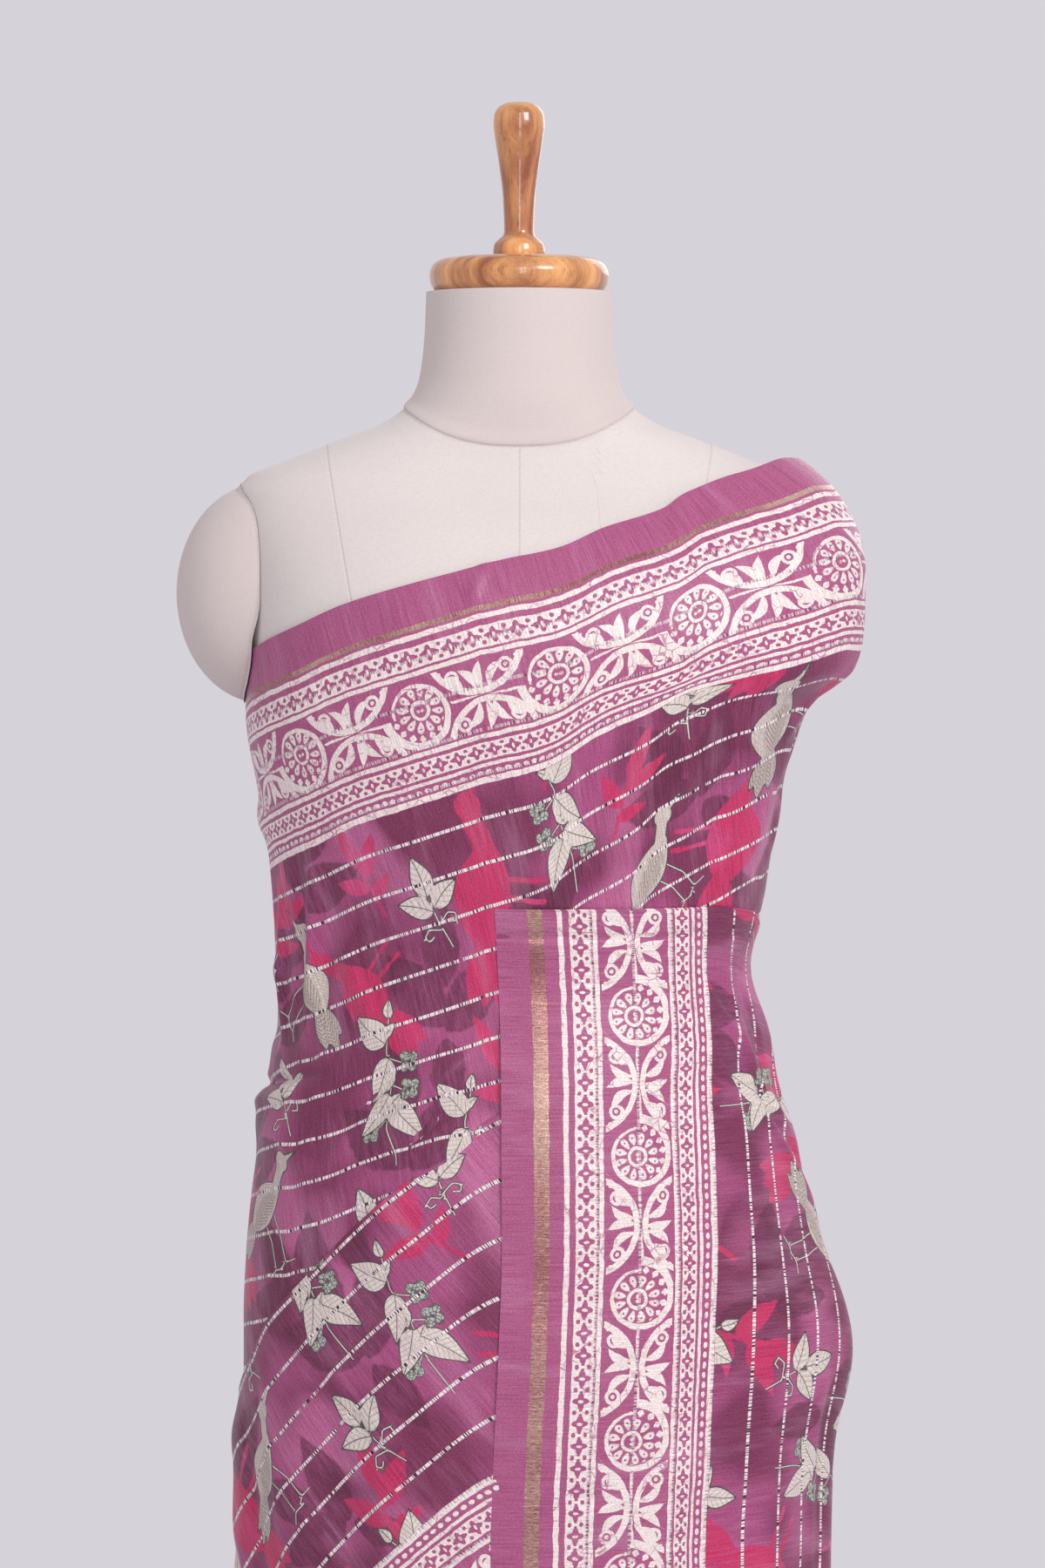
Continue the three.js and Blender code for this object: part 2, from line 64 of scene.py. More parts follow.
class Table:
    """A short table with named columns. The first column rises and is the key."""

    def __init__(self, names: str, rows: list[tuple[float, ...]]) -> None:
        """Keep the column names and the rows.

        Args:
            names: The columns' names, parted by spaces.
            rows: One tuple for each row.
        """
        self.names = names.split()
        self.data = np.array(rows, dtype=float)

    def at(self, name: str, key: Array | float) -> Array:
        """Read a column on a smooth curve that never overshoots its rows.

        Args:
            name: The column's name.
            key: Values of the first column.

        Returns:
            The column's value at each key.
        """
        keys = self.data[:, 0]
        values = self.data[:, self.names.index(name)]
        spans = np.diff(keys)
        slopes = np.diff(values) / spans
        product = slopes[:-1] * slopes[1:]
        total = slopes[:-1] + slopes[1:]
        inner = np.where(product > 0, 2 * product / np.where(total == 0, 1, total), 0)
        tangents = np.concatenate([slopes[:1], inner, slopes[-1:]])
        where = np.clip(np.asarray(key, dtype=float), keys[0], keys[-1])
        row = np.clip(np.searchsorted(keys, where, side="right") - 1, 0, len(keys) - 2)
        t = (where - keys[row]) / spans[row]
        start = values[row] * (1 + 2 * t) * (1 - t) ** 2 + tangents[row] * spans[row] * t * (1 - t) ** 2
        end = values[row + 1] * t * t * (3 - 2 * t) - tangents[row + 1] * spans[row] * t * t * (1 - t)
        return start + end


def smoothstep(value: Array | float, low: float, high: float) -> Array:
    """Return a smooth rise from 0 at low to 1 at high."""
    share = np.clip((np.asarray(value, dtype=float) - low) / (high - low), 0, 1)
    return share * share * (3 - 2 * share)


def turn_between(start: Array | float, end: Array | float) -> Array:
    """Return the shortest turn from one angle to another, in degrees."""
    return (np.asarray(end, dtype=float) - start + 180) % 360 - 180


def linear(red: int, green: int, blue: int) -> tuple[float, float, float, float]:
    """Return a display colour from 0 to 255 as linear light with full alpha."""
    parts = [channel / 255 for channel in (red, green, blue)]
    return (*[part / 12.92 if part <= 0.04045 else ((part + 0.055) / 1.055) ** 2.4 for part in parts], 1.0)


FORM_ROWS = Table("height half front back", [
    (700, 140, 100, 117), (730, 152, 106, 123), (800, 155, 108, 125), (864, 155, 108, 124),
    (912, 152, 105, 119), (953, 146, 100, 112), (987, 137, 96, 106), (1015, 132, 93, 101),
    (1051, 129.6, 92, 98), (1080, 135, 94, 97), (1110, 141, 98, 99), (1150, 148, 103, 103),
    (1190, 155, 112, 108), (1224, 156.5, 118, 114), (1265, 160, 113, 117), (1300, 164, 95, 111),
    (1326, 165, 72, 92), (1337, 158, 64, 84), (1347, 134, 59, 77), (1358, 106, 57, 71),
    (1368, 80, 57, 66), (1378, 66, 57, 62), (1395, 58, 55, 58), (1420, 55, 53, 55), (1444, 54, 53, 54),
])

CLOTH_ROWS = Table("height right left front back", [
    (25, 231, 226, 172, 186), (200, 214, 206, 158, 170), (420, 196, 184, 134, 148), (600, 178, 166, 118, 133),
    (698, 174, 159.5, 113, 129), (759, 174, 160, 114, 130), (800, 173.5, 160, 115, 131),
    (845, 171, 159.5, 114.5, 130), (882, 167, 157.5, 112.5, 127), (918, 160, 154.5, 110, 123),
    (953, 151.5, 149.5, 106, 117), (987, 141, 143, 102, 111), (1015, 138, 138.5, 99.5, 106),
    (1051, 132.6, 140, 97, 101), (1090, 142, 142.5, 102, 102), (1118, 147, 146, 106, 105),
    (1135, 149, 148.5, 108, 107), (1155, 151.5, 152.5, 110, 109), (1175, 158, 156, 114, 112),
    (1198, 166, 158.5, 118, 115), (1211, 174, 158.5, 119.5, 117), (1218, 184, 158, 120, 118),
    (1226, 194, 158, 120, 119), (1240, 199.5, 159, 120, 120), (1260, 201, 161, 116, 120),
    (1280, 201, 163, 109, 118), (1298, 199, 165, 99, 114), (1311, 194, 168, 89, 107),
    (1328, 184, 168, 76, 95), (1341, 171, 156, 68, 87), (1348, 161, 140, 64, 82),
])

SQUARENESS = Table("height power", [
    (25, 2.0), (700, 2.15), (900, 2.2), (1050, 2.1), (1240, 2.25), (1348, 2.05), (1400, 2.0),
])

LAYERS = Table("height skirt chest hip panel fall wrap", [
    (0, 0, 1, 2, 3, 3.7, 2), (600, 0, 1, 2, 3, 3.4, 2), (790, -0.6, 0.9, 2, 3.1, 3.2, 2),
    (850, -0.6, 0.9, 2, 3.1, 3.1, 0.9), (1004, -0.6, 0.9, 2, 3.1, 2.8, 0.9), (1046, 0, 0, 1, 1.1, 1.1, 0),
    (1090, 0, 0, 1, 1.1, 1.1, 0), (1125, 0, 0, 1, 1.1, 0, 0),
])

CHEST_EDGE = Table("turn height", [
    (-127.5, 1135), (-110, 1187), (-90, 1226), (-63, 1243), (-49, 1252), (-35, 1264), (-20, 1275), (-6, 1286),
    (5, 1295), (13, 1307), (25, 1319), (30, 1327), (45, 1338), (72, 1347), (97.5, 1347),
])
CHEST_LOW = Table("turn height", [
    (-127.5, 700), (-90, 745), (-60, 805), (-30, 868), (0, 935), (22.5, 1003), (60, 1024), (97.5, 1055),
])
HIP_FOLD = Table("turn height", [
    (-127.5, 762), (-110, 775), (-90, 797), (-70, 828), (-61, 852), (-52, 870), (-44, 887), (-33, 913),
    (-21, 939), (-3, 976), (22.5, 994),
])
HIP_LOW = Table("turn height", [
    (-127.5, 190), (-90, 300), (-65, 410), (-45, 490), (-26, 548), (-4, 604), (22.5, 650),
])
WRAP_EDGE = Table("turn height", [
    (-337.5, 985), (-300, 1006), (-262.5, 1040), (-220, 1056), (-180, 1064), (-150, 1092), (-127.5, 1135),
])
WRAP_LOW = Table("turn height", [(-337.5, 44), (-262.5, 62), (-180, 112), (-127.5, 190)])
PANEL_TOP = Table("share height", [(0, 1092), (0.5, 1091), (0.72, 1086), (0.9, 1074), (1, 1068)])
PANEL_EDGE = Table("height turn", [
    (420, -4.6), (729, -4.6), (778, -4.1), (845, -3.1), (900, -2.6), (973, -3.1), (1040, -4.0), (1092, -4.8),
])
FALL_EDGE = Table("height turn", [
    (420, 199), (700, 190), (850, 182), (950, 174), (1040, 163), (1120, 150), (1200, 137), (1250, 129),
    (1290, 122), (1320, 115), (1338, 108), (1346, 103),
])

LAYER_PITCH = 2.0
SHEET_LIFT = 1.0
AROUND = np.linspace(0, 2 * np.pi, 97)[:-1]
MEAN_RADIUS = 150.0
TORSO_BOTTOM = 700.0
FORM_CLEARANCE = 0.4
SIDE_SEAM = 97.5
BACK_SEAM = -127.5
PLEAT_EDGE = 22.5
PLEAT_COUNT = 7
PLEAT_TOP = 985.0
PLEAT_HEM = 27.0
PLEAT_CLOTH = 118.0
DEPTH_AT_HEM = 13.0
DEPTH_AT_TOP = 1.4
SKIRT_TOP = 1000.0
SKIRT_HEM = 25.0
PANEL_HEM = 420.0
FALL_TOP = 1346.0
HEM_FOLD_COUNT = 11
HEM_FOLD_RISE = 11.0
HEM_FOLD_START = 690.0
CLOTH_WIDTH = 1120.0
HIP_CLOTH = 276.0
HIP_SPAN = 762.0 - 190.0
LOOSE_END_START = 60.0
CHEST_SLOPE = math.radians(16)


@dataclass(frozen=True)
class Fold:
    """A soft fold between two places on the body. A minus rise is a trough."""

    turn_a: float
    height_a: float
    turn_b: float
    height_b: float
    width: float
    rise: float

    def lift(self, turn: Array, height: Array) -> Array:
        """Work out how far the fold lifts the cloth.

        Args:
            turn: Turns round the body.
            height: Heights above the floor.

        Returns:
            The lift at each place, in millimetres.
        """
        arc = math.radians(MEAN_RADIUS)
        run_turn = float(turn_between(self.turn_a, self.turn_b)) * arc
        run_height = self.height_b - self.height_a
        length = math.hypot(run_turn, run_height)
        off_turn = turn_between(self.turn_a, turn) * arc
        off_height = height - self.height_a
        t = (off_turn * run_turn + off_height * run_height) / length**2
        aside = (off_turn * run_height - off_height * run_turn) / length
        taper = np.where((t > 0) & (t < 1), np.sin(np.pi * np.clip(t, 0, 1)), 0)
        return self.rise * taper * np.exp(-((aside / self.width) ** 2))


def folds(rows: list[tuple[float, ...]]) -> list[Fold]:
    """Return a fold for each row of turn and height at both ends, width and rise."""
    return [Fold(*row) for row in rows]


CHEST_FOLDS = folds([
    (-112, 967, -38, 950, 14, 3), (-104, 1004, -66, 998, 9, 2), (-38, 1032, -6, 992, 13, 3),
    (-118, 1150, -66, 1128, 10, 4), (52, 1250, 58, 1100, 22, 3), (78, 1190, 58, 1100, 16, 4),
    (-116, 972, -44, 997, 3.0, -4.2), (-112, 962, -48, 986, 5.0, 3.0), (-70, 962, -34, 926, 6, 2.2),
    (-42, 930, -6, 1022, 6, 4.2), (-35, 930, -5, 1000, 4.5, -3.8), (-29, 926, -4, 976, 5, 3.4),
    (-50, 944, -14, 1032, 5, -3.0),
    (-88, 1060, -50, 1036, 7, 1.8), (-60, 1126, -64, 1010, 6, -4.0), (-82, 1130, -72, 1000, 8, 2.6),
    (-44, 1120, -54, 1020, 8, -4.2), (-70, 1116, -76, 1000, 7, 4.2), (-52, 1132, -58, 1030, 5, 3.4),
    (-106, 1010, -82, 950, 22, 3.0), (-58, 1060, -48, 990, 6, 1.8),
    (-74, 1126, -62, 1030, 5, -2.0), (-96, 1110, -88, 1000, 7, 2.4), (-46, 1080, -32, 1000, 7, 1.8),
    (-86, 1180, -56, 1196, 8, 1.4), (34, 1230, 38, 1100, 9, 2.2), (46, 1200, 47, 1100, 6, -2.0),
    (84, 1236, 66, 1180, 7, 2.6), (90, 1222, 74, 1150, 6, -2.4), (93, 1170, 76, 1110, 8, 2.6),
    (-5, 1292, -8, 1262, 3, 1.8), (28, 1331, 25, 1296, 3.5, 2.0), (-60, 1246, -64, 1216, 6, 1.1),
    (14, 1240, 8, 1120, 14, 1.4), (-20, 1190, -26, 1060, 16, 1.6), (-44, 1110, -62, 1010, 13, 1.8),
])
HIP_FOLDS = folds([
    (-100, 781, -62, 775, 16, 3.5), (-80, 800, -66, 520, 20, 6), (-52, 830, -40, 560, 20, 4),
    (-30, 860, -18, 640, 18, 3), (-112, 760, -110, 400, 20, 5), (-64, 836, -50, 700, 7, 1.6),
    (-74, 800, -60, 690, 6, -1.8), (-84, 786, -76, 640, 7, 2.0), (-40, 880, -30, 740, 8, 1.3),
    (-22, 906, -10, 720, 10, 1.2), (-14, 930, -6, 800, 8, -0.9), (-95, 760, -90, 520, 8, 2.2),
    (-58, 640, -50, 500, 9, 2.0), (-34, 700, -26, 560, 9, -1.6), (-68, 800, -30, 700, 6, 1.6),
    (-48, 850, -14, 770, 5, 1.3), (-90, 740, -58, 650, 6, -2.0),
])
LOOSE_FOLDS = folds([
    (38, 836, 132, 828, 46, 15), (20, 1040, 26, 470, 22, 3), (48, 1040, 52, 480, 22, 4),
    (80, 1020, 78, 480, 20, 4), (108, 1210, 124, 640, 22, 5), (136, 1100, 152, 500, 22, 6),
    (160, 1000, 176, 480, 20, 5), (60, 1082, 66, 960, 6, 1.8), (70, 1076, 74, 940, 6, -1.6),
    (84, 1064, 84, 900, 8, 2.0), (50, 1060, 58, 900, 8, 1.1), (8, 1060, 10, 760, 10, 0.7),
    (30, 980, 34, 720, 12, 0.9), (64, 900, 70, 700, 9, 1.8), (92, 940, 88, 720, 9, -1.6),
    (78, 700, 80, 470, 9, 2.0), (104, 1300, 118, 1150, 8, 2.4), (112, 1290, 130, 1120, 6, -1.6),
    (122, 1060, 134, 760, 8, 2.2), (146, 1000, 160, 700, 7, -2.0), (128, 900, 140, 560, 9, 2.4),
    (48, 1052, 84, 940, 6, 3.4), (54, 1032, 88, 910, 6, -2.6), (60, 990, 92, 880, 7, 2.2),
    (-30, 1078, 80, 1074, 2.4, -1.6), (70, 860, 74, 560, 7, -1.8), (90, 860, 92, 560, 8, 2.4),
])
WRAP_FOLDS = folds([
    (-156, 1050, -145, 460, 20, 5), (-136, 1085, -133, 430, 18, 4), (-300, 380, -302, 90, 24, 5),
    (-150, 1070, -138, 980, 7, 1.6), (-170, 1050, -160, 900, 8, 1.6), (-142, 700, -134, 420, 9, 2.2),
])


def push_out(points: Array, distance: Array) -> None:
    """Move points away from the middle axis by a distance, in place."""
    points[..., :2] *= (1 + distance / np.hypot(points[..., 0], points[..., 1]))[..., None]


def grid_of(first: Array, second: Array) -> tuple[Array, Array]:
    """Return two rows of values spread over a grid, the first by column and the second by row."""
    return np.meshgrid(first, second, indexing="ij")


class Body:
    """The padded form and the cloth's base surface over it."""

    def form_sides(self, height: Array, growth: float = 0.0) -> dict[str, Array]:
        """Return the form's half widths and depths at each height, grown all round.

        Args:
            height: Heights above the floor.
            growth: Distance outside the form.

        Returns:
            The right, left, front and back reach.
        """
        columns = {"right": "half", "left": "half", "front": "front", "back": "back"}
        return {side: FORM_ROWS.at(column, height) + growth for side, column in columns.items()}

    def section(self, turn: Array, height: Array, sides: dict[str, Array]) -> Array:
        """Return points on rounded sections.

        Args:
            turn: Turns round the body.
            height: Heights above the floor.
            sides: Reach to the right, left, front and back.

        Returns:
            Points in millimetres, with x, y and z on the last axis.
        """
        power = 2 / SQUARENESS.at("power", height)
        sine = np.sin(np.radians(turn))
        cosine = np.cos(np.radians(turn))
        across = np.where(sine >= 0, sides["right"], sides["left"])
        deep = np.where(cosine >= 0, sides["front"], sides["back"])
        x = np.sign(sine) * across * np.abs(sine) ** power
        y = -np.sign(cosine) * deep * np.abs(cosine) ** power
        return np.stack([x, y, np.broadcast_to(height, x.shape)], axis=-1)

    def cloth(self, turn: Array, height: Array) -> Array:
        """Lay out the first layer of cloth, which flares in soft folds towards the hem.

        Args:
            turn: Turns round the body.
            height: Heights above the floor.

        Returns:
            Points in millimetres.
        """
        sides = {name: CLOTH_ROWS.at(name, height) for name in ("right", "left", "front", "back")}
        form = self.form_sides(height, FORM_CLEARANCE)
        above = np.asarray(height) > TORSO_BOTTOM
        sides = {name: np.where(above, np.maximum(reach, form[name]), reach) for name, reach in sides.items()}
        points = self.section(turn, height, sides)
        share = smoothstep(HEM_FOLD_START - height, 0, HEM_FOLD_START - SKIRT_HEM)
        beside = smoothstep(np.abs(turn_between(0, turn)), PLEAT_EDGE, 2 * PLEAT_EDGE)
        uneven = np.sin(np.radians(turn * HEM_FOLD_COUNT + 25 * np.sin(np.radians(2 * turn))))
        push_out(points, HEM_FOLD_RISE * share * uneven * beside)
        return points

    def lifted(self, turn: Array, height: Array, lift: Array) -> Array:
        """Move places out from the first layer, square to it.

        Args:
            turn: Turns round the body.
            height: Heights above the floor.
            lift: How far to move.

        Returns:
            Points in millimetres.
        """
        step = 0.5
        here = self.cloth(turn, height)
        across = self.cloth(turn + step, height) - self.cloth(turn - step, height)
        down = self.cloth(turn, height - step) - here
        normal = np.cross(down, across)
        normal /= np.linalg.norm(normal, axis=-1, keepdims=True)
        return here + normal * lift[..., None]


BODY = Body()


def pleat_depth(height: Array) -> Array:
    """Return how deep the front pleats are at each height."""
    return DEPTH_AT_HEM + (DEPTH_AT_TOP - DEPTH_AT_HEM) * smoothstep(height, 0, PLEAT_TOP)


def pleat_room(turn: Array, height: Array) -> Array:
    """Work out the room that the outer layers leave for the pleats under them.

    Args:
        turn: Turns round the body.
        height: Heights above the floor.

    Returns:
        The room in millimetres.
    """
    beside = 1 - smoothstep(np.abs(turn_between(0, turn)), PLEAT_EDGE + 1, PLEAT_EDGE + 12)
    below = 1 - smoothstep(height, PLEAT_TOP + 2, PLEAT_TOP + 30)
    return (LAYER_PITCH + pleat_depth(height)) * beside * below


WAVES = (
    (0.031, 0.012, 0.3, 0.36), (0.017, -0.041, 1.1, 0.32), (-0.052, 0.037, 2.3, 0.2),
    (0.083, 0.061, 0.7, 0.12), (0.121, -0.034, 4.2, 0.07),
)


def crumple(u: Array, v: Array) -> Array:
    """Add up the cloth's fine unevenness from a few crossing waves.

    Args:
        u: Distance along the cloth.
        v: Distance across the cloth.

    Returns:
        The unevenness in millimetres.
    """
    total = np.zeros_like(u)
    for along_u, along_v, phase, size in WAVES:
        bend = 1.7 * np.sin(0.013 * u + 0.009 * v + phase)
        total += size * np.sin(along_u * u + along_v * v + phase + bend)
    return total


class Motif(Enum):
    """What stands at a place of the printed ground, with the name of its drawing."""

    BERRY_SPRIG = "berry_sprig"
    LEAF_SPRIG = "leaf_sprig"
    BIRD = "bird"
    SHADOW_BIRD = "shadow_bird"
    SHADOW_LEAVES = "shadow_leaves"
    DARK_LEAVES = "dark_leaves"


@dataclass(frozen=True)
class Placing:
    """Where one motif stands in the repeat, in cloth coordinates, and how it is turned."""

    motif: Motif
    u: float
    v: float
    angle: float
    size: float = 1.0
    mirrored: bool = False


PLACINGS = [Placing(motif, *row) for motif, rows in {
    Motif.BERRY_SPRIG: (
        (-12, 158, -96), (-166, 272, -84, 1.0, True), (74, 34, -78, 0.95, True), (-150, 72, -100, 0.95),
    ),
    Motif.LEAF_SPRIG: (
        (76, 128, -84), (-112, 176, -98, 1.15), (152, 256, -110, 1.1), (10, 62, -104, 1.15), (-60, 270, -70),
        (158, 44, -64),
    ),
    Motif.BIRD: (
        (124, 168, -66, 0.95), (44, 222, -38, 0.95), (-212, 196, -120, 0.95, True), (-70, 30, -20),
    ),
    Motif.SHADOW_BIRD: (
        (-74, 178, -62, 1.05), (96, 226, -80, 0.9, True), (-172, 212, -112, 0.8), (30, 300, -84, 0.95),
        (128, 84, -70, 0.95, True), (-116, 24, -96),
    ),
    Motif.SHADOW_LEAVES: (
        (36, 158, -60), (-150, 146, -100, 0.9), (-8, 94, -70, 1.2), (168, 150, -60, 1.1),
        (-92, 282, -110, 1.1),
    ),
    Motif.DARK_LEAVES: (
        (-40, 214, -40, 1.5), (-120, 226, -80, 1.7), (70, 176, -120, 1.6), (150, 200, -70, 1.6),
        (-190, 130, -50, 1.6), (40, 10, -90, 1.8), (-50, 76, -130, 1.6), (110, 280, -60, 1.6),
        (-180, 20, -110, 1.5),
    ),
}.items() for row in rows]


@dataclass
class Print:
    """The motifs on the ground as signed distances, in millimetres, at points of the cloth."""

    u: Array
    v: Array
    fields: dict[str, Array] = field(init=False)

    REACH = 92.0
    PERIOD_U = 400.0
    PERIOD_V = 290.0

    def __post_init__(self) -> None:
        """Draw every motif of the repeat that reaches these points."""
        self.fields = Pen.empty(self.u.shape)
        for tile_u in self.tiles(self.u, self.PERIOD_U):
            for tile_v in self.tiles(self.v, self.PERIOD_V):
                shift = 0.5 * self.PERIOD_U * (tile_v % 2)
                for placing in PLACINGS:
                    at_u = placing.u + tile_u * self.PERIOD_U + shift
                    self.draw(placing, at_u, placing.v + tile_v * self.PERIOD_V)

    @staticmethod
    def tiles(values: Array, period: float) -> range:
        """Return the numbers of the repeats that the values run over, with one more at each end."""
        return range(int(values.min() // period) - 1, int(values.max() // period) + 2)

    def draw(self, placing: Placing, at_u: float, at_v: float) -> None:
        """Draw one motif round its middle.

        Args:
            placing: Which motif and how it is turned.
            at_u: Its middle along the cloth.
            at_v: Its middle across the cloth.
        """
        near = np.hypot(self.u - at_u, self.v - at_v) < self.REACH
        if not near.any():
            return
        turned = math.radians(placing.angle)
        off_u = (self.u[near] - at_u) / placing.size
        off_v = (self.v[near] - at_v) / placing.size
        x = off_u * math.cos(turned) + off_v * math.sin(turned)
        y = -off_u * math.sin(turned) + off_v * math.cos(turned)
        pen = Pen(x, -y if placing.mirrored else y)
        getattr(pen, placing.motif.value)()
        closer = pen.fields["fill"] < self.fields["fill"][near]
        nearer = pen.fields["gap"] < self.fields["gap"][near]
        for name, taken in (("along", closer), ("across", closer), ("feather", closer), ("stem", nearer)):
            values = self.fields[name]
            values[near] = np.where(taken, pen.fields[name], values[near])
        for name in Pen.DISTANCES:
            values = self.fields[name]
            values[near] = np.minimum(values[near], pen.fields[name])


class Pen:
    """Draws leaves, strokes and dots as signed distances round a motif's own middle."""

    FAR = 50.0
    DISTANCES = ("fill", "gap", "shadow", "berry", "dark")
    LOCAL = ("along", "across", "feather", "stem")

    def __init__(self, x: Array, y: Array) -> None:
        """Start with an empty drawing.

        Args:
            x: The points' places along the motif.
            y: Their places across it.
        """
        self.x = x
        self.y = y
        self.fields = self.empty(x.shape)

    @classmethod
    def empty(cls, shape: tuple[int, ...]) -> dict[str, Array]:
        """Return all the fields of a drawing with nothing in it."""
        distances = {name: np.full(shape, cls.FAR) for name in cls.DISTANCES}
        return distances | {name: np.zeros(shape) for name in cls.LOCAL}

    def mark(self, where: Array, along: Array, across: Array, feather: float) -> None:
        """Keep a shape's own coordinates and feathering at the places that it covers."""
        for name, values in (("along", along), ("across", across), ("feather", feather)):
            self.fields[name] = np.where(where, values, self.fields[name])

    def leaf_distance(self, root: tuple[float, float], angle: float, length: float, width: float,
                      fullness: float = 0.8, bend: float = 0.0) -> tuple[Array, Array, Array]:
        """Return the distance to a leaf and the leaf's own coordinates.

        Args:
            root: Where the leaf starts.
            angle: Its direction in degrees.
            length: Its length.
            width: Its full width.
            fullness: Below 1 the leaf is widest near its root, above 1 near its tip.
            bend: How far its middle bows aside.

        Returns:
            Signed distance, distance along the leaf and distance across it.
        """
        turned = math.radians(angle)
        dx = self.x - root[0]
        dy = self.y - root[1]
        along = dx * math.cos(turned) + dy * math.sin(turned)
        share = np.clip(along / length, 0.0, 1.0)
        across = -dx * math.sin(turned) + dy * math.cos(turned) - bend * np.sin(np.pi * share)
        half = 0.5 * width * np.sin(np.pi * share**fullness)
        distance = np.maximum(np.abs(across) - half, np.maximum(-along, along - length))
        return distance, along, across

    def leaf(self, root: tuple[float, float], angle: float, length: float, width: float,
             fullness: float = 0.62, bend: float = 1.0, feather: float = 0.0) -> None:
        """Draw a filled leaf with veins, or a wing or tail.

        Args:
            root: Where the leaf starts.
            angle: Its direction in degrees.
            length: Its length.
            width: Its full width.
            fullness: Below 1 the leaf is widest near its root, above 1 near its tip.
            bend: How far its middle bows aside.
            feather: 0 for a leaf's veins, 1 for a feather's barbs.
        """
        distance, along, across = self.leaf_distance(root, angle, length, width, fullness, bend)
        self.mark(distance < self.fields["fill"], along, across, feather)
        self.add("fill", distance)

    def stroke(self, points: list[tuple[float, float]]) -> tuple[Array, Array]:
        """Measure the distance to a line through points.

        Args:
            points: The line's points.

        Returns:
            The distance, and the same with the side's sign.
        """
        nearest = np.full(self.x.shape, self.FAR)
        signed = np.zeros(self.x.shape)
        for start, end in zip(points[:-1], points[1:]):
            run_x = end[0] - start[0]
            run_y = end[1] - start[1]
            length = math.hypot(run_x, run_y)
            off_x = self.x - start[0]
            off_y = self.y - start[1]
            t = np.clip((off_x * run_x + off_y * run_y) / length**2, 0, 1)
            gap = np.hypot(off_x - t * run_x, off_y - t * run_y)
            side = (run_x * off_y - run_y * off_x) / length
            closer = gap < nearest
            signed = np.where(closer, side, signed)
            nearest = np.where(closer, gap, nearest)
        return nearest, signed

    def stem(self, points: list[tuple[float, float]]) -> None:
        """Draw a thin stem or leg.

        Args:
            points: The points that it runs through.
        """
        gap, side = self.stroke(points)
        self.fields["stem"] = np.where(gap < self.fields["gap"], side, self.fields["stem"])
        self.add("gap", gap)

    def disc(self, x: float, y: float, radius: float) -> Array:
        """Return the distance to a disc."""
        return np.hypot(self.x - x, self.y - y) - radius

    def add(self, name: str, *distances: Array) -> None:
        """Join shapes to one of the drawing's distances."""
        self.fields[name] = np.minimum.reduce([self.fields[name], *distances])

    def berries(self, x: float, y: float, size: float = 1.0) -> None:
        """Draw a cluster of four round berry heads."""
        for off_x, off_y in ((3.4, 2.6), (-3.2, 3.2), (2.4, -3.6), (-3.4, -2.8)):
            self.add("berry", self.disc(x + off_x * size, y + off_y * size, 3.3 * size))

    def berry_sprig(self) -> None:
        """Draw a hanging branch with pointed leaves and berry clusters."""
        self.stem([(-46, -2), (-24, 1), (0, -1), (22, 1), (40, -3)])
        leaves = ((26, 1, 42, 27, 18), (18, 0, 152, 29, 15), (30, 0, -48, 11, 6), (-4, 0, 138, 30, 14),
                  (-8, -1, -146, 33, 17), (6, 0, 64, 12, 7), (10, 0, 166, 14, 8), (-12, 0, -50, 12, 7),
                  (40, -3, -10, 12, 7))
        for root_x, root_y, *shape in leaves:
            self.leaf((root_x, root_y), *shape)
        for root_x, end_x, end_y in ((18, 14, -13), (2, -2, -14), (-16, -24, 12)):
            self.stem([(root_x, 0), (end_x, end_y * 0.6)])
            self.berries(end_x, end_y, 0.95)

    def leaf_sprig(self) -> None:
        """Draw a small upright sprig with three leaves and curled tendrils."""
        self.stem([(-24, 2), (-10, 0), (4, 0)])
        self.leaf((3, 0), 4, 22, 12.5, 0.7, 0.8)
        self.leaf((-3, 1), 66, 20, 12, 0.7, -1.0)
        self.leaf((-5, 0), -58, 21, 12, 0.7, 1.0)
        self.stem([(-12, 0), (-8, 7), (-10, 11), (-14, 10), (-13, 7)])
        self.stem([(-15, 0), (-12, -7), (-15, -11), (-18, -9), (-17, -7)])

    def bird(self) -> None:
        """Draw a standing bird with folded wing, fanned tail, beak and long legs."""
        for angle, length, width in ((171, 38, 11), (158, 34, 10), (184, 32, 9)):
            self.leaf((-10, 3), angle, length, width, 1.25, 0.0, 1.0)
        self.leaf((-23, 3), -9, 45, 26, 0.95, -1.5, 0.45)
        wing, along, across = self.leaf_distance((14, -1), 168, 36, 15, 0.8, 1.5)
        self.mark(wing < 0, along, across, 1.0)
        self.add_head(29, -15, 6.2, 3.9, 15)
        for foot in ((-4, 37), (6, 36)):
            self.stem([(foot[0] + 2, 10), (foot[0] + 3, 22), foot])
            self.stem([(foot[0] - 6, foot[1] + 2), foot, (foot[0] + 6, foot[1] + 2)])

    def add_head(self, x: float, y: float, head: float, neck: float, beak: float) -> None:
        """Join a neck, head and beak to the bird's fill.

        Args:
            x: The head's middle.
            y: The same across the bird.
            head: The head's radius.
            neck: The neck's radius.
            beak: The beak's length.
        """
        reach = np.clip((self.x - x - head) / beak, 0, 1)
        bill = self.stroke([(x, y), (x + head + beak, y + 1)])[0] - 1.9 * (1 - reach)
        shape = np.minimum.reduce([self.disc(x, y, head), self.stroke([(12, -3), (x, y)])[0] - neck, bill])
        self.mark(shape < self.fields["fill"], self.x * 1.7, self.y + 30, 0.45)
        self.add("fill", shape)

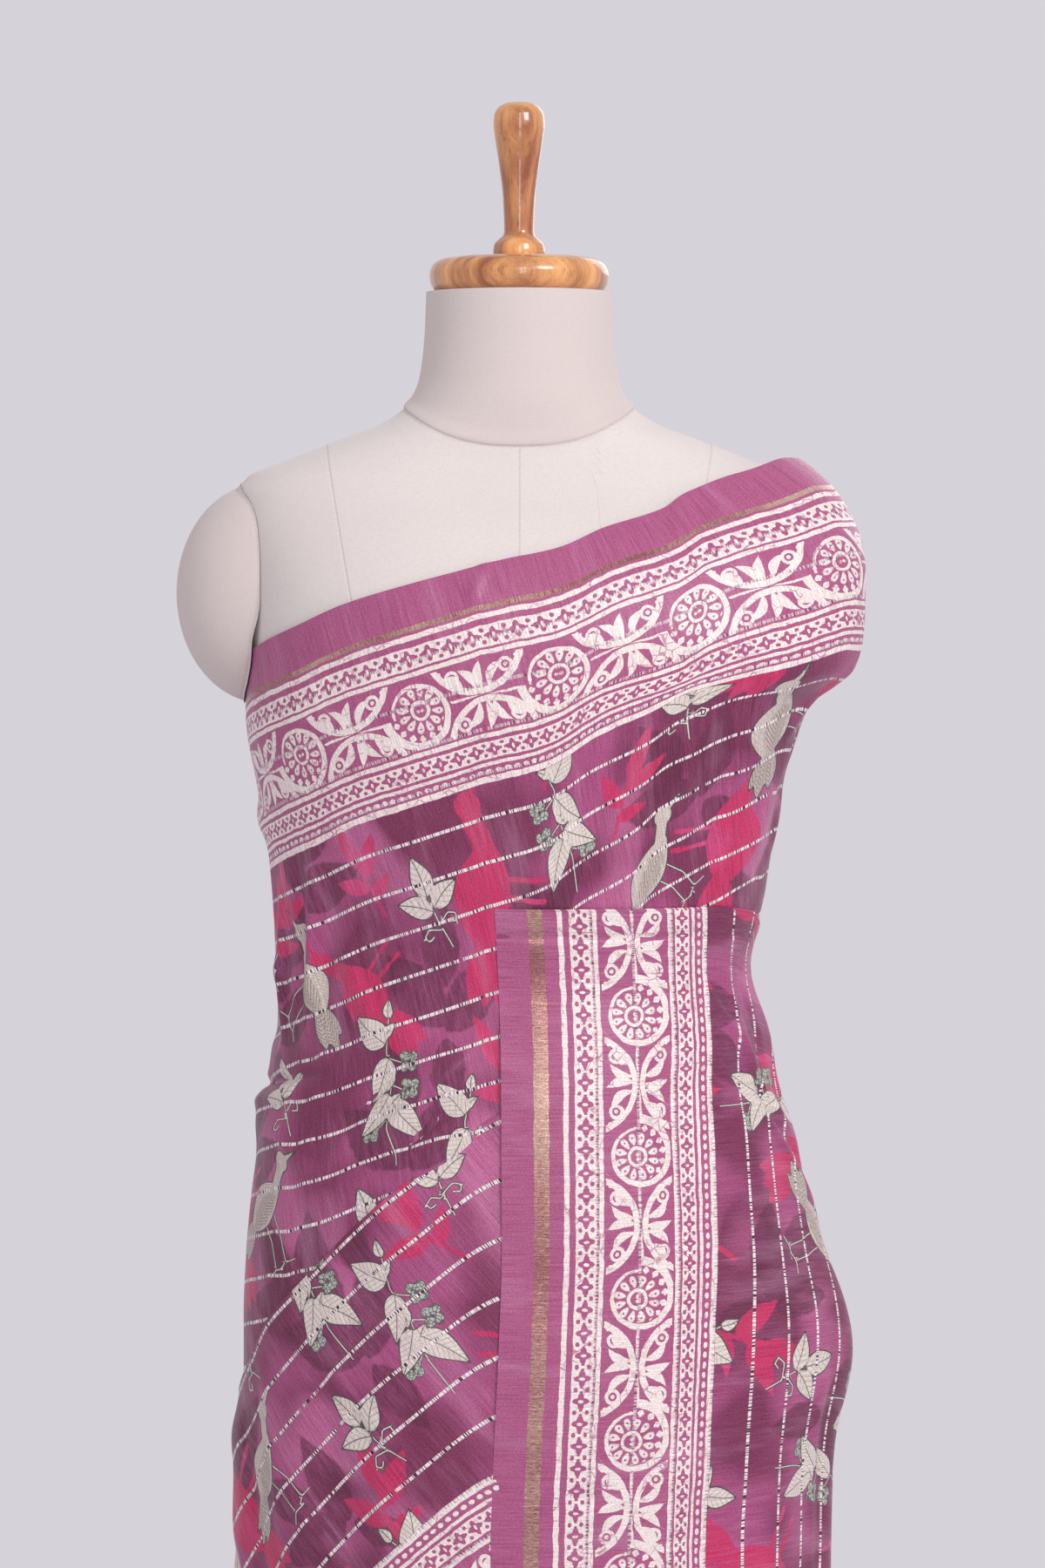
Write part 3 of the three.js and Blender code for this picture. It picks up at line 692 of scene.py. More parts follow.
    def shadow_bird(self) -> None:
        """Draw a large plain bird silhouette."""
        tail = [self.leaf_distance((-18, 5), angle, 48, 15, 1.2)[0] for angle in (172, 158, 184)]
        self.add(
            "shadow",
            *tail,
            self.leaf_distance((-36, 4), -6, 66, 36, 0.95, -2.0)[0],
            self.stroke([(20, -4), (40, -17)])[0] - 6.2,
            self.disc(42, -18, 7.6),
            self.stroke([(44, -18), (64, -15)])[0] - 1.6,
            self.stroke([(-2, 12), (2, 42)])[0] - 1.4,
            self.stroke([(8, 12), (14, 39)])[0] - 1.4,
        )

    def shadow_leaves(self) -> None:
        """Draw a few plain leaf silhouettes."""
        for root_x, *shape in ((-6, 44, 32, 12), (-14, -52, 28, 11), (2, 2, 34, 11), (-20, 64, 22, 9)):
            self.add("shadow", self.leaf_distance((root_x, 0), *shape, 0.7)[0])
        self.add("shadow", self.stroke([(-34, 2), (4, 0)])[0] - 1.2)

    def dark_leaves(self) -> None:
        """Draw a spray of darker leaves."""
        for root_x, *shape in ((-14, 46, 36, 17), (-12, -40, 34, 18), (0, 4, 34, 15), (-16, 176, 26, 13)):
            self.add("dark", self.leaf_distance((root_x, 0), *shape)[0])


def grid_object(name: str, points: Array, ring: bool = False) -> bpy.types.Object:
    """Make a smooth mesh object from a grid of points.

    Args:
        name: The object's name.
        points: Points in millimetres, by column from the viewer's left and by row from the top.
        ring: True where the last column joins the first.

    Returns:
        The object, linked to the scene.
    """
    columns, rows = points.shape[:2]
    index = np.arange(columns * rows).reshape(columns, rows)
    right = np.roll(index, -1, axis=0) if ring else index[1:]
    left = index if ring else index[:-1]
    quads = np.stack([left[:, :-1], left[:, 1:], right[:, 1:], right[:, :-1]], axis=-1).reshape(-1, 4)
    return mesh_object(name, points.reshape(-1, 3) * MM, quads.tolist())


def mesh_object(name: str, vertices: Array, faces: list[list[int]]) -> bpy.types.Object:
    """Make a smooth mesh object.

    Args:
        name: The object's name.
        vertices: Points in metres.
        faces: The vertices' numbers round each face.

    Returns:
        The object, linked to the scene.
    """
    mesh = bpy.data.meshes.new(name)
    mesh.from_pydata(np.asarray(vertices).tolist(), [], faces)
    mesh.polygons.foreach_set("use_smooth", [True] * len(mesh.polygons))
    mesh.update()
    obj = bpy.data.objects.new(name, mesh)
    bpy.context.scene.collection.objects.link(obj)
    return obj


def add_vectors(obj: bpy.types.Object, name: str, values: Array) -> None:
    """Store a vector for each vertex as a named attribute."""
    attribute = obj.data.attributes.new(name, "FLOAT_VECTOR", "POINT")
    attribute.data.foreach_set("vector", np.asarray(values, dtype=np.float32).ravel())


def arc_along(points: Array, axis: int) -> Array:
    """Add up the distance run along one axis of a grid of points.

    Args:
        points: The grid's points.
        axis: 0 to run from column to column, 1 from row to row.

    Returns:
        The distance at each point, in the points' own unit.
    """
    steps = np.linalg.norm(np.diff(points, axis=axis), axis=-1)
    start = np.zeros_like(np.take(steps, [0], axis=axis))
    return np.concatenate([start, np.cumsum(steps, axis=axis)], axis=axis)


def dress(obj: bpy.types.Object, node: str, material: bpy.types.Material) -> None:
    """Put a piece in its node's place with its material.

    Args:
        obj: The piece.
        node: The solid that it stands for.
        material: Its material.
    """
    obj.data.materials.append(material)
    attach(obj, "root")
    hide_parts(node)
    LOG.info("%s: %d faces", obj.name, len(obj.data.polygons))


@dataclass
class Grid:
    """The places of a stretch, as shares, turns and heights, and the smooth cloth's points at them."""

    across: Array
    down: Array
    turn: Array
    height: Array
    points: Array = field(init=False)

    def run(self, axis: int) -> Array:
        """Return the distance run across the cloth, for axis 0, or down it, for axis 1."""
        return arc_along(self.points, axis)

    def edge_run(self) -> Array:
        """Return the run along the top edge from the front's middle."""
        edge = arc_along(self.points[:, :1], 0)
        return edge - edge[np.argmin(np.abs(self.turn[:, 0]))]


@dataclass
class Stretch:
    """One stretch of the saree that shows, laid on its solid's form."""

    name: str
    layer: str
    columns: int
    rows: int
    creases: list[Fold] = field(default_factory=list)
    turned_in: bool = False
    ring: bool = False

    ROLL_RADIUS = 0.9
    TURN_IN = 14.0
    LEAST_SHARE = 0.31
    START = -180.0
    END = 180.0
    TOP = SKIRT_TOP
    LOW = SKIRT_HEM
    DRAWN = {
        "motif": ("fill", "along", "across"),
        "ground": ("dark", "shadow", "feather"),
        "lines": ("stem", "gap", "berry"),
    }

    def place(self, across: Array, down: Array) -> tuple[Array, Array]:
        """Lay the grid between the upper and the lower edge.

        Args:
            across: Shares of the way from the stretch's first turn to its last.
            down: Shares of the way down.

        Returns:
            Turns and heights.
        """
        turn = self.START + (self.END - self.START) * across
        top = self.TOP.at("height", turn) if isinstance(self.TOP, Table) else self.TOP
        low = self.LOW.at("height", turn) if isinstance(self.LOW, Table) else self.LOW
        return turn, top + (low - top) * down

    def cloth(self, grid: Grid) -> tuple[Array, Array]:
        """Return the cloth coordinates u and v of the grid."""
        raise NotImplementedError

    def lift(self, grid: Grid) -> Array:
        """Return the distance of the cloth from the first layer, without its folds."""
        stack = LAYER_PITCH * LAYERS.at(self.layer, grid.height) + SHEET_LIFT
        return stack + pleat_room(grid.turn, grid.height)

    def build(self, silk: bpy.types.Material) -> None:
        """Build the stretch as a thin sheet with its print.

        Args:
            silk: Its material.
        """
        across, down = grid_of(np.linspace(0, 1, self.columns + 1), np.linspace(0, 1, self.rows + 1))
        if self.ring:
            across = across[:-1]
            down = down[:-1]
        turn, height = self.place(across, down)
        grid = Grid(across, down, turn, height)
        lift = self.lift(grid)
        lift = lift + sum((fold.lift(turn, height) for fold in self.creases), np.zeros_like(turn))
        grid.points = BODY.lifted(turn, height, lift)
        u, v = self.cloth(grid)
        points = BODY.lifted(turn, height, lift + crumple(u, v))
        if self.turned_in:
            points, u, v = self.with_turn_in(grid, lift, points, u, v)
        obj = grid_object(self.name, points, self.ring)
        self.map_cloth(obj, u, v)
        dress(obj, "saree_" + self.name, silk)
        self.declare(points)

    def with_turn_in(self, grid: Grid, lift: Array, *layers: Array) -> list[Array]:
        """Roll the top edge over and carry the cloth down behind itself.

        Args:
            grid: The stretch's places.
            lift: The cloth's distance from the first layer.
            layers: The points, u and v of the stretch.

        Returns:
            The points, u and v with the rolled rows before the first one.
        """
        steps = [(math.pi, self.TURN_IN * step / 3) for step in range(3, 0, -1)]
        steps += [(math.pi * step / 6, 0.0) for step in range(6, 0, -1)]
        added = []
        for angle, drop in steps:
            rise = self.ROLL_RADIUS * math.sin(angle) - drop
            sunk = self.ROLL_RADIUS * (1 - math.cos(angle))
            row = BODY.lifted(grid.turn[:, :1], grid.height[:, :1] + rise, lift[:, :1] - sunk)
            run = self.ROLL_RADIUS * angle + drop
            added.append((row, layers[1][:, :1], layers[2][:, :1] - run))
        return [np.concatenate([*rows, layer], axis=1) for *rows, layer in zip(*added, layers)]

    def map_cloth(self, obj: bpy.types.Object, u: Array, v: Array) -> None:
        """Store cloth coordinates and the printed motifs on the sheet.

        Args:
            obj: The sheet.
            u: Distance along the cloth.
            v: Distance across the cloth.
        """
        add_vectors(obj, "cloth", np.stack([u, v, np.zeros_like(u)], axis=-1) * MM)
        drawn = Print(u.ravel(), v.ravel()).fields
        for name, parts in self.DRAWN.items():
            add_vectors(obj, name, np.stack([drawn[part] for part in parts], axis=-1))

    def declare(self, points: Array) -> None:
        """Args:
            points: Its grid of points.
        """
        wide = arc_along(points, 0)[-1].max() * MM
        long = arc_along(points, 1)[:, -1].max() * MM
        across = points[1:, :-1] - points[:-1, :-1]
        down = points[:-1, 1:] - points[:-1, :-1]
        area = float(np.linalg.norm(np.cross(across, down), axis=-1).sum()) * MM * MM
        if self.ring:
            wide *= (self.columns + 1) / self.columns
            area *= (self.columns + 1) / self.columns
        share = min(max(area / (wide * long), self.LEAST_SHARE), 1.0)
        share * wide * long


class ChestDrape(Stretch):
    """The upper half of the cloth, across the chest and over the arm cap."""

    START = BACK_SEAM
    END = SIDE_SEAM
    TOP = CHEST_EDGE
    LOW = CHEST_LOW

    def cloth(self, grid: Grid) -> tuple[Array, Array]:
        """Return cloth coordinates with the stripes at the slope of the upper edge."""
        run = grid.run(1)
        return grid.edge_run() - run * math.sin(CHEST_SLOPE), run * math.cos(CHEST_SLOPE)


class HipDrape(Stretch):
    """The lower half of the cloth, folded lengthwise and laid over the chest half."""

    START = BACK_SEAM
    END = PLEAT_EDGE
    TOP = HIP_FOLD
    LOW = HIP_LOW
    SETTLE = 0.3
    SETTLE_RUN = 22.0

    def lift(self, grid: Grid) -> Array:
        """Return the stack's lift, which settles on the chest half at the fold."""
        below = HIP_FOLD.at("height", grid.turn) - grid.height
        return super().lift(grid) - self.SETTLE * (1 - smoothstep(below, 0, self.SETTLE_RUN))

    def cloth(self, grid: Grid) -> tuple[Array, Array]:
        """Work out cloth coordinates with the stripes parallel to the fold.

        Args:
            grid: The stretch's places.

        Returns:
            The cloth coordinates u and v.
        """
        fall = HIP_FOLD.at("height", grid.turn) - HIP_LOW.at("height", grid.turn)
        slope = np.sqrt(np.clip(1 - (HIP_CLOTH / fall) ** 2, 0, 1))
        return grid.edge_run() - grid.run(1) * slope, CLOTH_WIDTH - HIP_CLOTH * (1 - grid.down)


class FrontPanel(Stretch):
    """The loose end brought round the side to the front, with its border upright."""

    LOW = PANEL_HEM
    SETTLE = 1.12
    SETTLE_SHARE = 0.09

    def place(self, across: Array, down: Array) -> tuple[Array, Array]:
        """Lay the grid from the folded top edge to the hem, beside the upright edge.

        Args:
            across: Shares of the way from the upright edge to the side.
            down: Shares of the way down.

        Returns:
            Turns and heights.
        """
        top = PANEL_TOP.at("height", across)
        height = top + (self.LOW - top) * down
        start = PANEL_EDGE.at("turn", height)
        return start + (SIDE_SEAM - start) * across, height

    def lift(self, grid: Grid) -> Array:
        """Return the stack's lift, which settles on the layer below at the upright edge."""
        return super().lift(grid) - self.SETTLE * (1 - smoothstep(grid.across, 0, self.SETTLE_SHARE))

    def cloth(self, grid: Grid) -> tuple[Array, Array]:
        """Return cloth coordinates with the stripes upright."""
        return grid.run(1) - LOOSE_END_START, CLOTH_WIDTH - grid.run(0)


class BackFall(Stretch):
    """The loose end over the shoulder and down the back."""

    PLEAT_SHARE = 0.45
    PANEL_WIDTH = 285.0
    PANEL_TOP = 1085.0
    SPREAD_FROM = 1080.0
    SPREAD_TO = 1170.0

    def place(self, across: Array, down: Array) -> tuple[Array, Array]:
        """Return turn and height from the shoulder to the hem."""
        height = FALL_TOP + (PANEL_HEM - FALL_TOP) * down
        return SIDE_SEAM + (FALL_EDGE.at("turn", height) - SIDE_SEAM) * across, height

    def cloth(self, grid: Grid) -> tuple[Array, Array]:
        """Go on from the chest's cloth at the shoulder and from the panel's below it.

        Args:
            grid: The stretch's places.

        Returns:
            The cloth coordinates u and v.
        """
        run = grid.run(1)
        round_body = grid.run(0)
        low = 1 - smoothstep(grid.height, self.SPREAD_FROM, self.SPREAD_TO)
        wide = run[:1] * math.cos(CHEST_SLOPE) * (1 - low) + round_body[-1:] * low
        beside_panel = (grid.across < self.PLEAT_SHARE) & (grid.height < self.PANEL_TOP)
        panel_v = CLOTH_WIDTH - self.PANEL_WIDTH - round_body
        return run - LOOSE_END_START, np.where(beside_panel, panel_v, (1 - grid.across) * wide)


class BackWrap(Stretch):
    """The second wrap from the pleats round the viewer's right and the back."""

    START = PLEAT_EDGE - 360
    END = BACK_SEAM
    TOP = WRAP_EDGE
    LOW = WRAP_LOW
    SLANT_START = -275.0
    SLANT = 0.4
    FOLD_HEIGHT = 764.0

    def cloth(self, grid: Grid) -> tuple[Array, Array]:
        """Count the upper half from the waist down and the lower half from the border up.

        Args:
            grid: The stretch's places.

        Returns:
            The cloth coordinates u and v.
        """
        share = smoothstep(grid.turn, self.SLANT_START, BACK_SEAM)
        rate = 1 + (HIP_CLOTH / HIP_SPAN - 1) * share
        rise = grid.height - WRAP_LOW.at("height", grid.turn)
        folded_half = grid.height < self.FOLD_HEIGHT
        u = grid.run(0) + np.where(folded_half, self.SLANT * rise * share, 0)
        upper_v = grid.run(1) * math.cos(CHEST_SLOPE)
        return u, np.where(folded_half, CLOTH_WIDTH - rise * rate, upper_v)


class Skirt(Stretch):
    """The first wrap, a tube down to the hem."""

    OWN_LIFT = 0.6

    def lift(self, grid: Grid) -> Array:
        """Return the skirt's place in the stack, under the pleats."""
        return LAYER_PITCH * LAYERS.at(self.layer, grid.height) + self.OWN_LIFT

    def cloth(self, grid: Grid) -> tuple[Array, Array]:
        """Return cloth coordinates with the border at the hem."""
        return np.radians(grid.turn) * MEAN_RADIUS, CLOTH_WIDTH - (grid.height - SKIRT_HEM)


class FrontPleats(Stretch):
    """The pleats tucked in at the front waist."""

    START = -PLEAT_EDGE
    END = PLEAT_EDGE
    TOP = PLEAT_TOP
    LOW = PLEAT_HEM
    KNIFE_EDGE = 0.78

    def lift(self, grid: Grid) -> Array:
        """Lift pleats that each rise slowly and fall back sharply.

        Args:
            grid: The stretch's places.

        Returns:
            The distance of the cloth from the first layer.
        """
        share = (grid.across * PLEAT_COUNT) % 1
        wave = np.where(share < self.KNIFE_EDGE, share / self.KNIFE_EDGE, (1 - share) / (1 - self.KNIFE_EDGE))
        rounded = np.sin(0.5 * np.pi * wave) ** 1.3
        return LAYER_PITCH + SHEET_LIFT + pleat_depth(grid.height) * rounded

    def cloth(self, grid: Grid) -> tuple[Array, Array]:
        """Return cloth coordinates with the border at the hem and the pleats' own depth along u."""
        return grid.across * PLEAT_COUNT * PLEAT_CLOTH, CLOTH_WIDTH - (grid.height - PLEAT_HEM)


@dataclass
class Signal:
    """A value in a shader's node tree that takes part in sums as a number does."""

    tree: bpy.types.NodeTree
    socket: bpy.types.NodeSocket

    def math(self, operation: str, *others: Signal | float, clamp: bool = False) -> Signal:
        """Return a math node's result with this value as its first input.

        Args:
            operation: The node's operation.
            others: Its further inputs.
            clamp: True to keep the result from 0 to 1.

        Returns:
            The result.
        """
        node = self.tree.nodes.new("ShaderNodeMath")
        node.operation = operation
        node.use_clamp = clamp
        for index, value in enumerate((self, *others)):
            if isinstance(value, Signal):
                self.tree.links.new(value.socket, node.inputs[index])
            else:
                node.inputs[index].default_value = value
        return Signal(self.tree, node.outputs[0])

    def __add__(self, other: Signal | float) -> Signal:
        """Return the sum."""
        return self.math("ADD", other)

    def __sub__(self, other: Signal | float) -> Signal:
        """Return the difference."""
        return self.math("SUBTRACT", other)

    def __mul__(self, other: Signal | float) -> Signal:
        """Return the product."""
        return self.math("MULTIPLY", other)

    def __abs__(self) -> Signal:
        """Return the size without its sign."""
        return self.math("ABSOLUTE")

    def line(self, factor: float, shift: float, clamp: bool = False) -> Signal:
        """Return the value times a factor plus a shift."""
        return self.math("MULTIPLY_ADD", factor, shift, clamp=clamp)

    def fit(self, factor: float, shift: float) -> Signal:
        """Return the value times a factor plus a shift, kept from 0 to 1."""
        return self.line(factor, shift, clamp=True)

    def less(self, other: Signal | float) -> Signal:
        """Return the smaller of two values."""
        return self.math("MINIMUM", other)

    def more(self, other: Signal | float) -> Signal:
        """Return the greater of two values."""
        return self.math("MAXIMUM", other)

    def inside(self, soft: float = 0.25) -> Signal:
        """Return 1 where a signed distance is below 0, with a soft edge."""
        return self.fit(-1 / soft, 0.5)

    def repeat(self, period: float, start: float = 0.0) -> Signal:
        """Return the distance to the nearest of marks a period apart, with its sign."""
        cell = self.line(1 / period, 0.5 - start / period).math("FRACT")
        return (cell - 0.5) * period

    def off(self) -> Signal:
        """Return 1 minus the value."""
        return self.fit(-1.0, 1.0)


def length_of(x: Signal, y: Signal) -> Signal:
    """Return the length of a flat vector."""
    return (x * x + y * y).math("SQRT")


@dataclass
class Shader:
    """A material under construction, with short ways to add its nodes."""

    name: str
    material: bpy.types.Material = field(init=False)
    tree: bpy.types.NodeTree = field(init=False)
    surface: bpy.types.Node = field(init=False)

    def __post_init__(self) -> None:
        """Make the material with its surface node."""
        self.material = bpy.data.materials.new(self.name)
        self.material.use_nodes = True
        self.tree = self.material.node_tree
        self.surface = self.tree.nodes["Principled BSDF"]

    def put(self, node: bpy.types.Node, **inputs: object) -> None:
        """Set or link named inputs of a node, with underscores for spaces."""
        for name, value in inputs.items():
            self.join(node.inputs[name.replace("_", " ")], value)

    def join(self, socket: bpy.types.NodeSocket, value: object) -> None:
        """Link a signal or another node's output to a socket, or else set its value.

        Args:
            socket: The socket.
            value: What goes into it.
        """
        if isinstance(value, Signal):
            value = value.socket
        if isinstance(value, bpy.types.NodeSocket):
            self.tree.links.new(value, socket)
        else:
            socket.default_value = value

    def node(self, kind: str, **inputs: object) -> bpy.types.Node:
        """Add a node.

        Args:
            kind: The node's type.
            inputs: Its inputs by name, with underscores for spaces.

        Returns:
            The node.
        """
        made = self.tree.nodes.new(kind)
        self.put(made, **inputs)
        return made

    def finished(self, **inputs: object) -> bpy.types.Material:
        """Give the surface its named inputs and return the material."""
        self.put(self.surface, **inputs)
        return self.material

    def parts(self, attribute: str) -> list[Signal]:
        """Split a vector that the mesh carries.

        Args:
            attribute: Its name on the mesh.

        Returns:
            Its three parts.
        """
        reader = self.node("ShaderNodeAttribute")
        reader.attribute_name = attribute
        split = self.node("ShaderNodeSeparateXYZ", Vector=reader.outputs["Vector"])
        return [Signal(self.tree, output) for output in split.outputs]

    def place(self) -> bpy.types.NodeSocket:
        """Return the place on the object, in metres."""
        return self.node("ShaderNodeTexCoord").outputs["Object"]

    def stretched(self, vector: object, *scale: float,
                  start: tuple[float, ...] = (0.0, 0.0, 0.0)) -> bpy.types.NodeSocket:
        """Return a vector with each of its parts scaled."""
        return self.node("ShaderNodeMapping", Vector=vector, Location=start, Scale=scale).outputs[0]

    def noise(self, vector: object, scale: float, detail: float = 2.0, rough: float = 0.5) -> Signal:
        """Return a noise texture's value."""
        made = self.node("ShaderNodeTexNoise", Vector=vector, Scale=scale, Detail=detail, Roughness=rough)
        return Signal(self.tree, made.outputs["Fac"])

    def cells(self, vector: object, scale: float) -> Signal:
        """Add a cell texture.

        Args:
            vector: Where it is read.
            scale: How small the cells are.

        Returns:
            The distance to the walls between the cells.
        """
        made = self.node("ShaderNodeTexVoronoi", Vector=vector, Scale=scale)
        made.feature = "DISTANCE_TO_EDGE"
        return Signal(self.tree, made.outputs["Distance"])

    def combine(self, x: Signal | float, y: Signal | float, z: Signal | float = 0.0) -> bpy.types.NodeSocket:
        """Return a vector of three values."""
        return self.node("ShaderNodeCombineXYZ", X=x, Y=y, Z=z).outputs[0]

    def mix(self, share: Signal | float, low: object, high: object,
            blend: str = "MIX") -> bpy.types.NodeSocket:
        """Mix two colours.

        Args:
            share: The second colour's share.
            low: The first colour.
            high: The second colour.
            blend: How they are mixed.

        Returns:
            The mixed colour.
        """
        made = self.node("ShaderNodeMix")
        made.data_type = "RGBA"
        made.blend_type = blend
        for index, value in ((0, share), (6, low), (7, high)):
            self.join(made.inputs[index], value)
        return made.outputs[2]

    def bump(self, height: Signal, strength: float, distance: float) -> bpy.types.NodeSocket:
        """Return a normal bumped by a height."""
        return self.node("ShaderNodeBump", Strength=strength, Distance=distance, Height=height).outputs[0]


@dataclass(frozen=True)
class PrintedSilk:
    """Plum silk with woven dashed lines, a gold strip, block borders and scattered motifs."""

    plum: tuple = linear(128, 38, 84)
    deep: tuple = linear(100, 18, 62)
    magenta: tuple = linear(175, 79, 130)
    # A lighter dye tone, also used as painted sheen.
    bright_dye_and_sheen: tuple = linear(214, 120, 168)
    border_ground: tuple = linear(183, 93, 137)
    red: tuple = linear(212, 36, 100)
    pink: tuple = linear(228, 80, 140)
    # The pale silver pink of the painted sheen.
    painted_sheen_silver: tuple = linear(226, 176, 208)
    cream: tuple = linear(255, 249, 238)
    leaf: tuple = linear(238, 232, 217)
    plume: tuple = linear(202, 191, 176)
    berry: tuple = linear(192, 204, 186)
    ink: tuple = linear(62, 68, 62)
    # The gold strip's painted highlight tone, and below it its painted shade tone.
    gold: tuple = linear(255, 232, 198)
    gold_painted_shade: tuple = linear(158, 100, 98)
    thread_light: tuple = linear(255, 250, 245)
    thread_dark: tuple = linear(74, 30, 54)
    thread_shade: tuple = linear(192, 174, 184)
    # The near-white pink of the painted glint.
    painted_glint: tuple = linear(255, 236, 248)
    sheen: tuple = linear(255, 205, 232)

    STRIPE_PITCH = 24.37
    STRIPE_START = 140.0
    STRIPE_MARGIN = 40.0
    STRIPE_HALF = 0.95
    DASH_PERIOD = 2.1
    DASH_SHARE = 0.66
    SHOULDER_GOLD = (25.2, 1.5)
    LOWER_GOLD = (22.6, 4.3)
    BLOCK_START_SHOULDER = 28.5
    BLOCK_START_LOWER = 35.0
    BLOCK_END = 93.0
    LINES = ((1.5, 1.5), (21.3, 1.3), (66.4, 1.3), (82.6, 1.0), (91.0, 1.7))
    FLOWER_BANDS = ((12.6, 6.0, 1.0), (74.8, 4.9, 0.86))
    SCROLL_MIDDLE = 43.8
    SCROLL_PITCH = 80.0
    SCROLL_HALF = 20.0
    PETALS = 12
    SPRAY = (
        (0.5, 3.0, 98, 16, 5.4, -2.0), (4.0, 3.0, 62, 16, 4.8, 2.6), (-4.0, 3.0, 128, 17, 5.0, -3.0),
        (2.0, 0.0, 4, 19, 4.6, -1.6), (11.0, 5.0, 38, 15, 4.4, 3.4),
    )

    def border_print(self, u: Signal, w: Signal) -> Signal:
        """Return where the block border leaves cream, from its first line to its last one.

        Args:
            u: Distance along the cloth.
            w: Distance from the border's first line, across it.

        Returns:
            1 on the cream print.
        """
        lines = [(abs(w - middle) - half).inside() for middle, half in self.LINES]
        bands = [self.flower_band(u, w - middle, half, size) for middle, half, size in self.FLOWER_BANDS]
        dots = length_of(u.repeat(5.6) * 0.8, (w - 86.6) * 1.2) - 1.45
        scrolls = self.scroll_band(u, w - self.SCROLL_MIDDLE)
        return reduce(Signal.more, [*lines, *bands, dots.inside(), scrolls])

    def flower_band(self, u: Signal, t: Signal, half: float, size: float) -> Signal:
        """Return a cream band with plum flowers and paired dots left in it.

        Args:
            u: Distance along the cloth.
            t: Distance from the band's middle.
            half: Half the band's width.
            size: The flowers' scale.

        Returns:
            1 on the cream print.
        """
        pitch = 12.8 * size
        x = u.repeat(pitch)
        between = abs(u.repeat(pitch, pitch / 2))
        lobes = (t.math("ARCTAN2", x) * 4.0).math("COSINE")
        flower = length_of(x, t * 1.05) - lobes.line(1.05 * size, 3.9 * size)
        heart = length_of(x * 1.5 - 0.3, t * 0.8) - 1.3 * size
        dot = length_of(between - 0.2, abs(t) - 3.4 * size) - 1.15 * size
        bar = length_of((between - 1.3 * size) * 1.5, t) - 0.95 * size
        cut = flower.more(heart * -1.0).less(dot).less(bar)
        return (abs(t) - half).more(cut * -1.0).inside()

    def scroll_band(self, u: Signal, y: Signal) -> Signal:
        """Return medallions in curling scrolls, with leaf sprays between them.

        Args:
            u: Distance along the cloth.
            y: Distance from the band's middle.

        Returns:
            1 on the cream print.
        """
        x = u.repeat(self.SCROLL_PITCH)
        radius = length_of(x, y)
        angle = y.math("ARCTAN2", x)
        scroll = abs(radius - angle.line(0.85, 17.1)) - angle.line(0.3, 1.6)
        rose_x = x - 1.6
        rose_y = y + 1.6
        reach = length_of(rose_x, rose_y)
        turned = rose_y.math("ARCTAN2", rose_x)
        petal_turn = math.tau / self.PETALS
        comb = (angle * 15.0).math("COSINE").line(1.5, 1.2)
        comb = abs(radius - 14.6) - comb * (angle - 2.0).math("COSINE").fit(1.0, 0.3)
        aside = ((turned * (1 / petal_turn)).math("FRACT") - 0.5) * reach * petal_turn
        width = reach.line(0.24, -0.62)
        petal = length_of(aside.math("DIVIDE", width), (reach - 10.0) * (1 / 3.3)) - 1.0
        seed = length_of(aside, reach - 10.9) - 0.6
        ring = abs(reach - 5.0) - 0.95
        middle = length_of(abs(rose_x) - 1.3, rose_y * 1.1 - 0.2) - 1.05
        medallion = scroll.less(comb + 0.4).less(petal.more(seed * -1.0)).less(ring).less(middle)
        far_x = u.repeat(self.SCROLL_PITCH, self.SCROLL_PITCH / 2)
        fold_x = far_x * y.math("SIGN")
        upper = abs(y)
        leaves = reduce(Signal.less, [
            self.leaf_shape(fold_x - root_x, upper - root_y, *leaf) for root_x, root_y, *leaf in self.SPRAY
        ])
        garland = abs(length_of(far_x, upper - 29.0) - 26.6) - 1.75
        eye = length_of(abs(far_x) - 15.8, upper - 13.6)
        curl = abs(eye - 3.4) - 0.95
        spray = leaves.less(garland).less(curl).more(radius * -1.0 + 19.6)
        dots = eye.less(length_of(abs(far_x) - 22.6, upper - 17.6)) - 1.2
        drawing = medallion.less(spray).less(dots)
        return drawing.more(upper - self.SCROLL_HALF).inside()

    def leaf_shape(self, x: Signal, y: Signal, angle: float, length: float, wide: float,
                   bend: float) -> Signal:
        """Return the signed distance to one bowed leaf.

        Args:
            x: Distance from the leaf's root along the band.
            y: Distance from its root across the band.
            angle: Its direction in degrees.
            length: Its length.
            wide: Its full width.
            bend: How far its middle bows aside.

        Returns:
            The signed distance.
        """
        cosine = math.cos(math.radians(angle))
        sine = math.sin(math.radians(angle))
        along = x * cosine + y * sine
        across = y * cosine - x * sine
        share = along.fit(1 / length, 0.0)
        swell = share * (share * -1.0 + 1.0)
        return abs(across - swell * (4 * bend)) - swell * (2 * wide)

    def ground(self, s: Shader, flat: object, jitter: Signal) -> bpy.types.NodeSocket:
        """Return the ground's colour: patches of plum and magenta, lighter patches of dye tone and painted
        sheen, with dark and red shadow motifs.

        Args:
            s: The shader.
            flat: The cloth's coordinates.
            jitter: A fine unevenness for the patches' edges.

        Returns:
            The colour.
        """
        dark, shadow, _ = s.parts("ground")
        broad = s.noise(flat, 11.0, 2.0, 0.55)
        colour = s.mix(broad.fit(9.0, -3.95), self.plum, self.magenta)
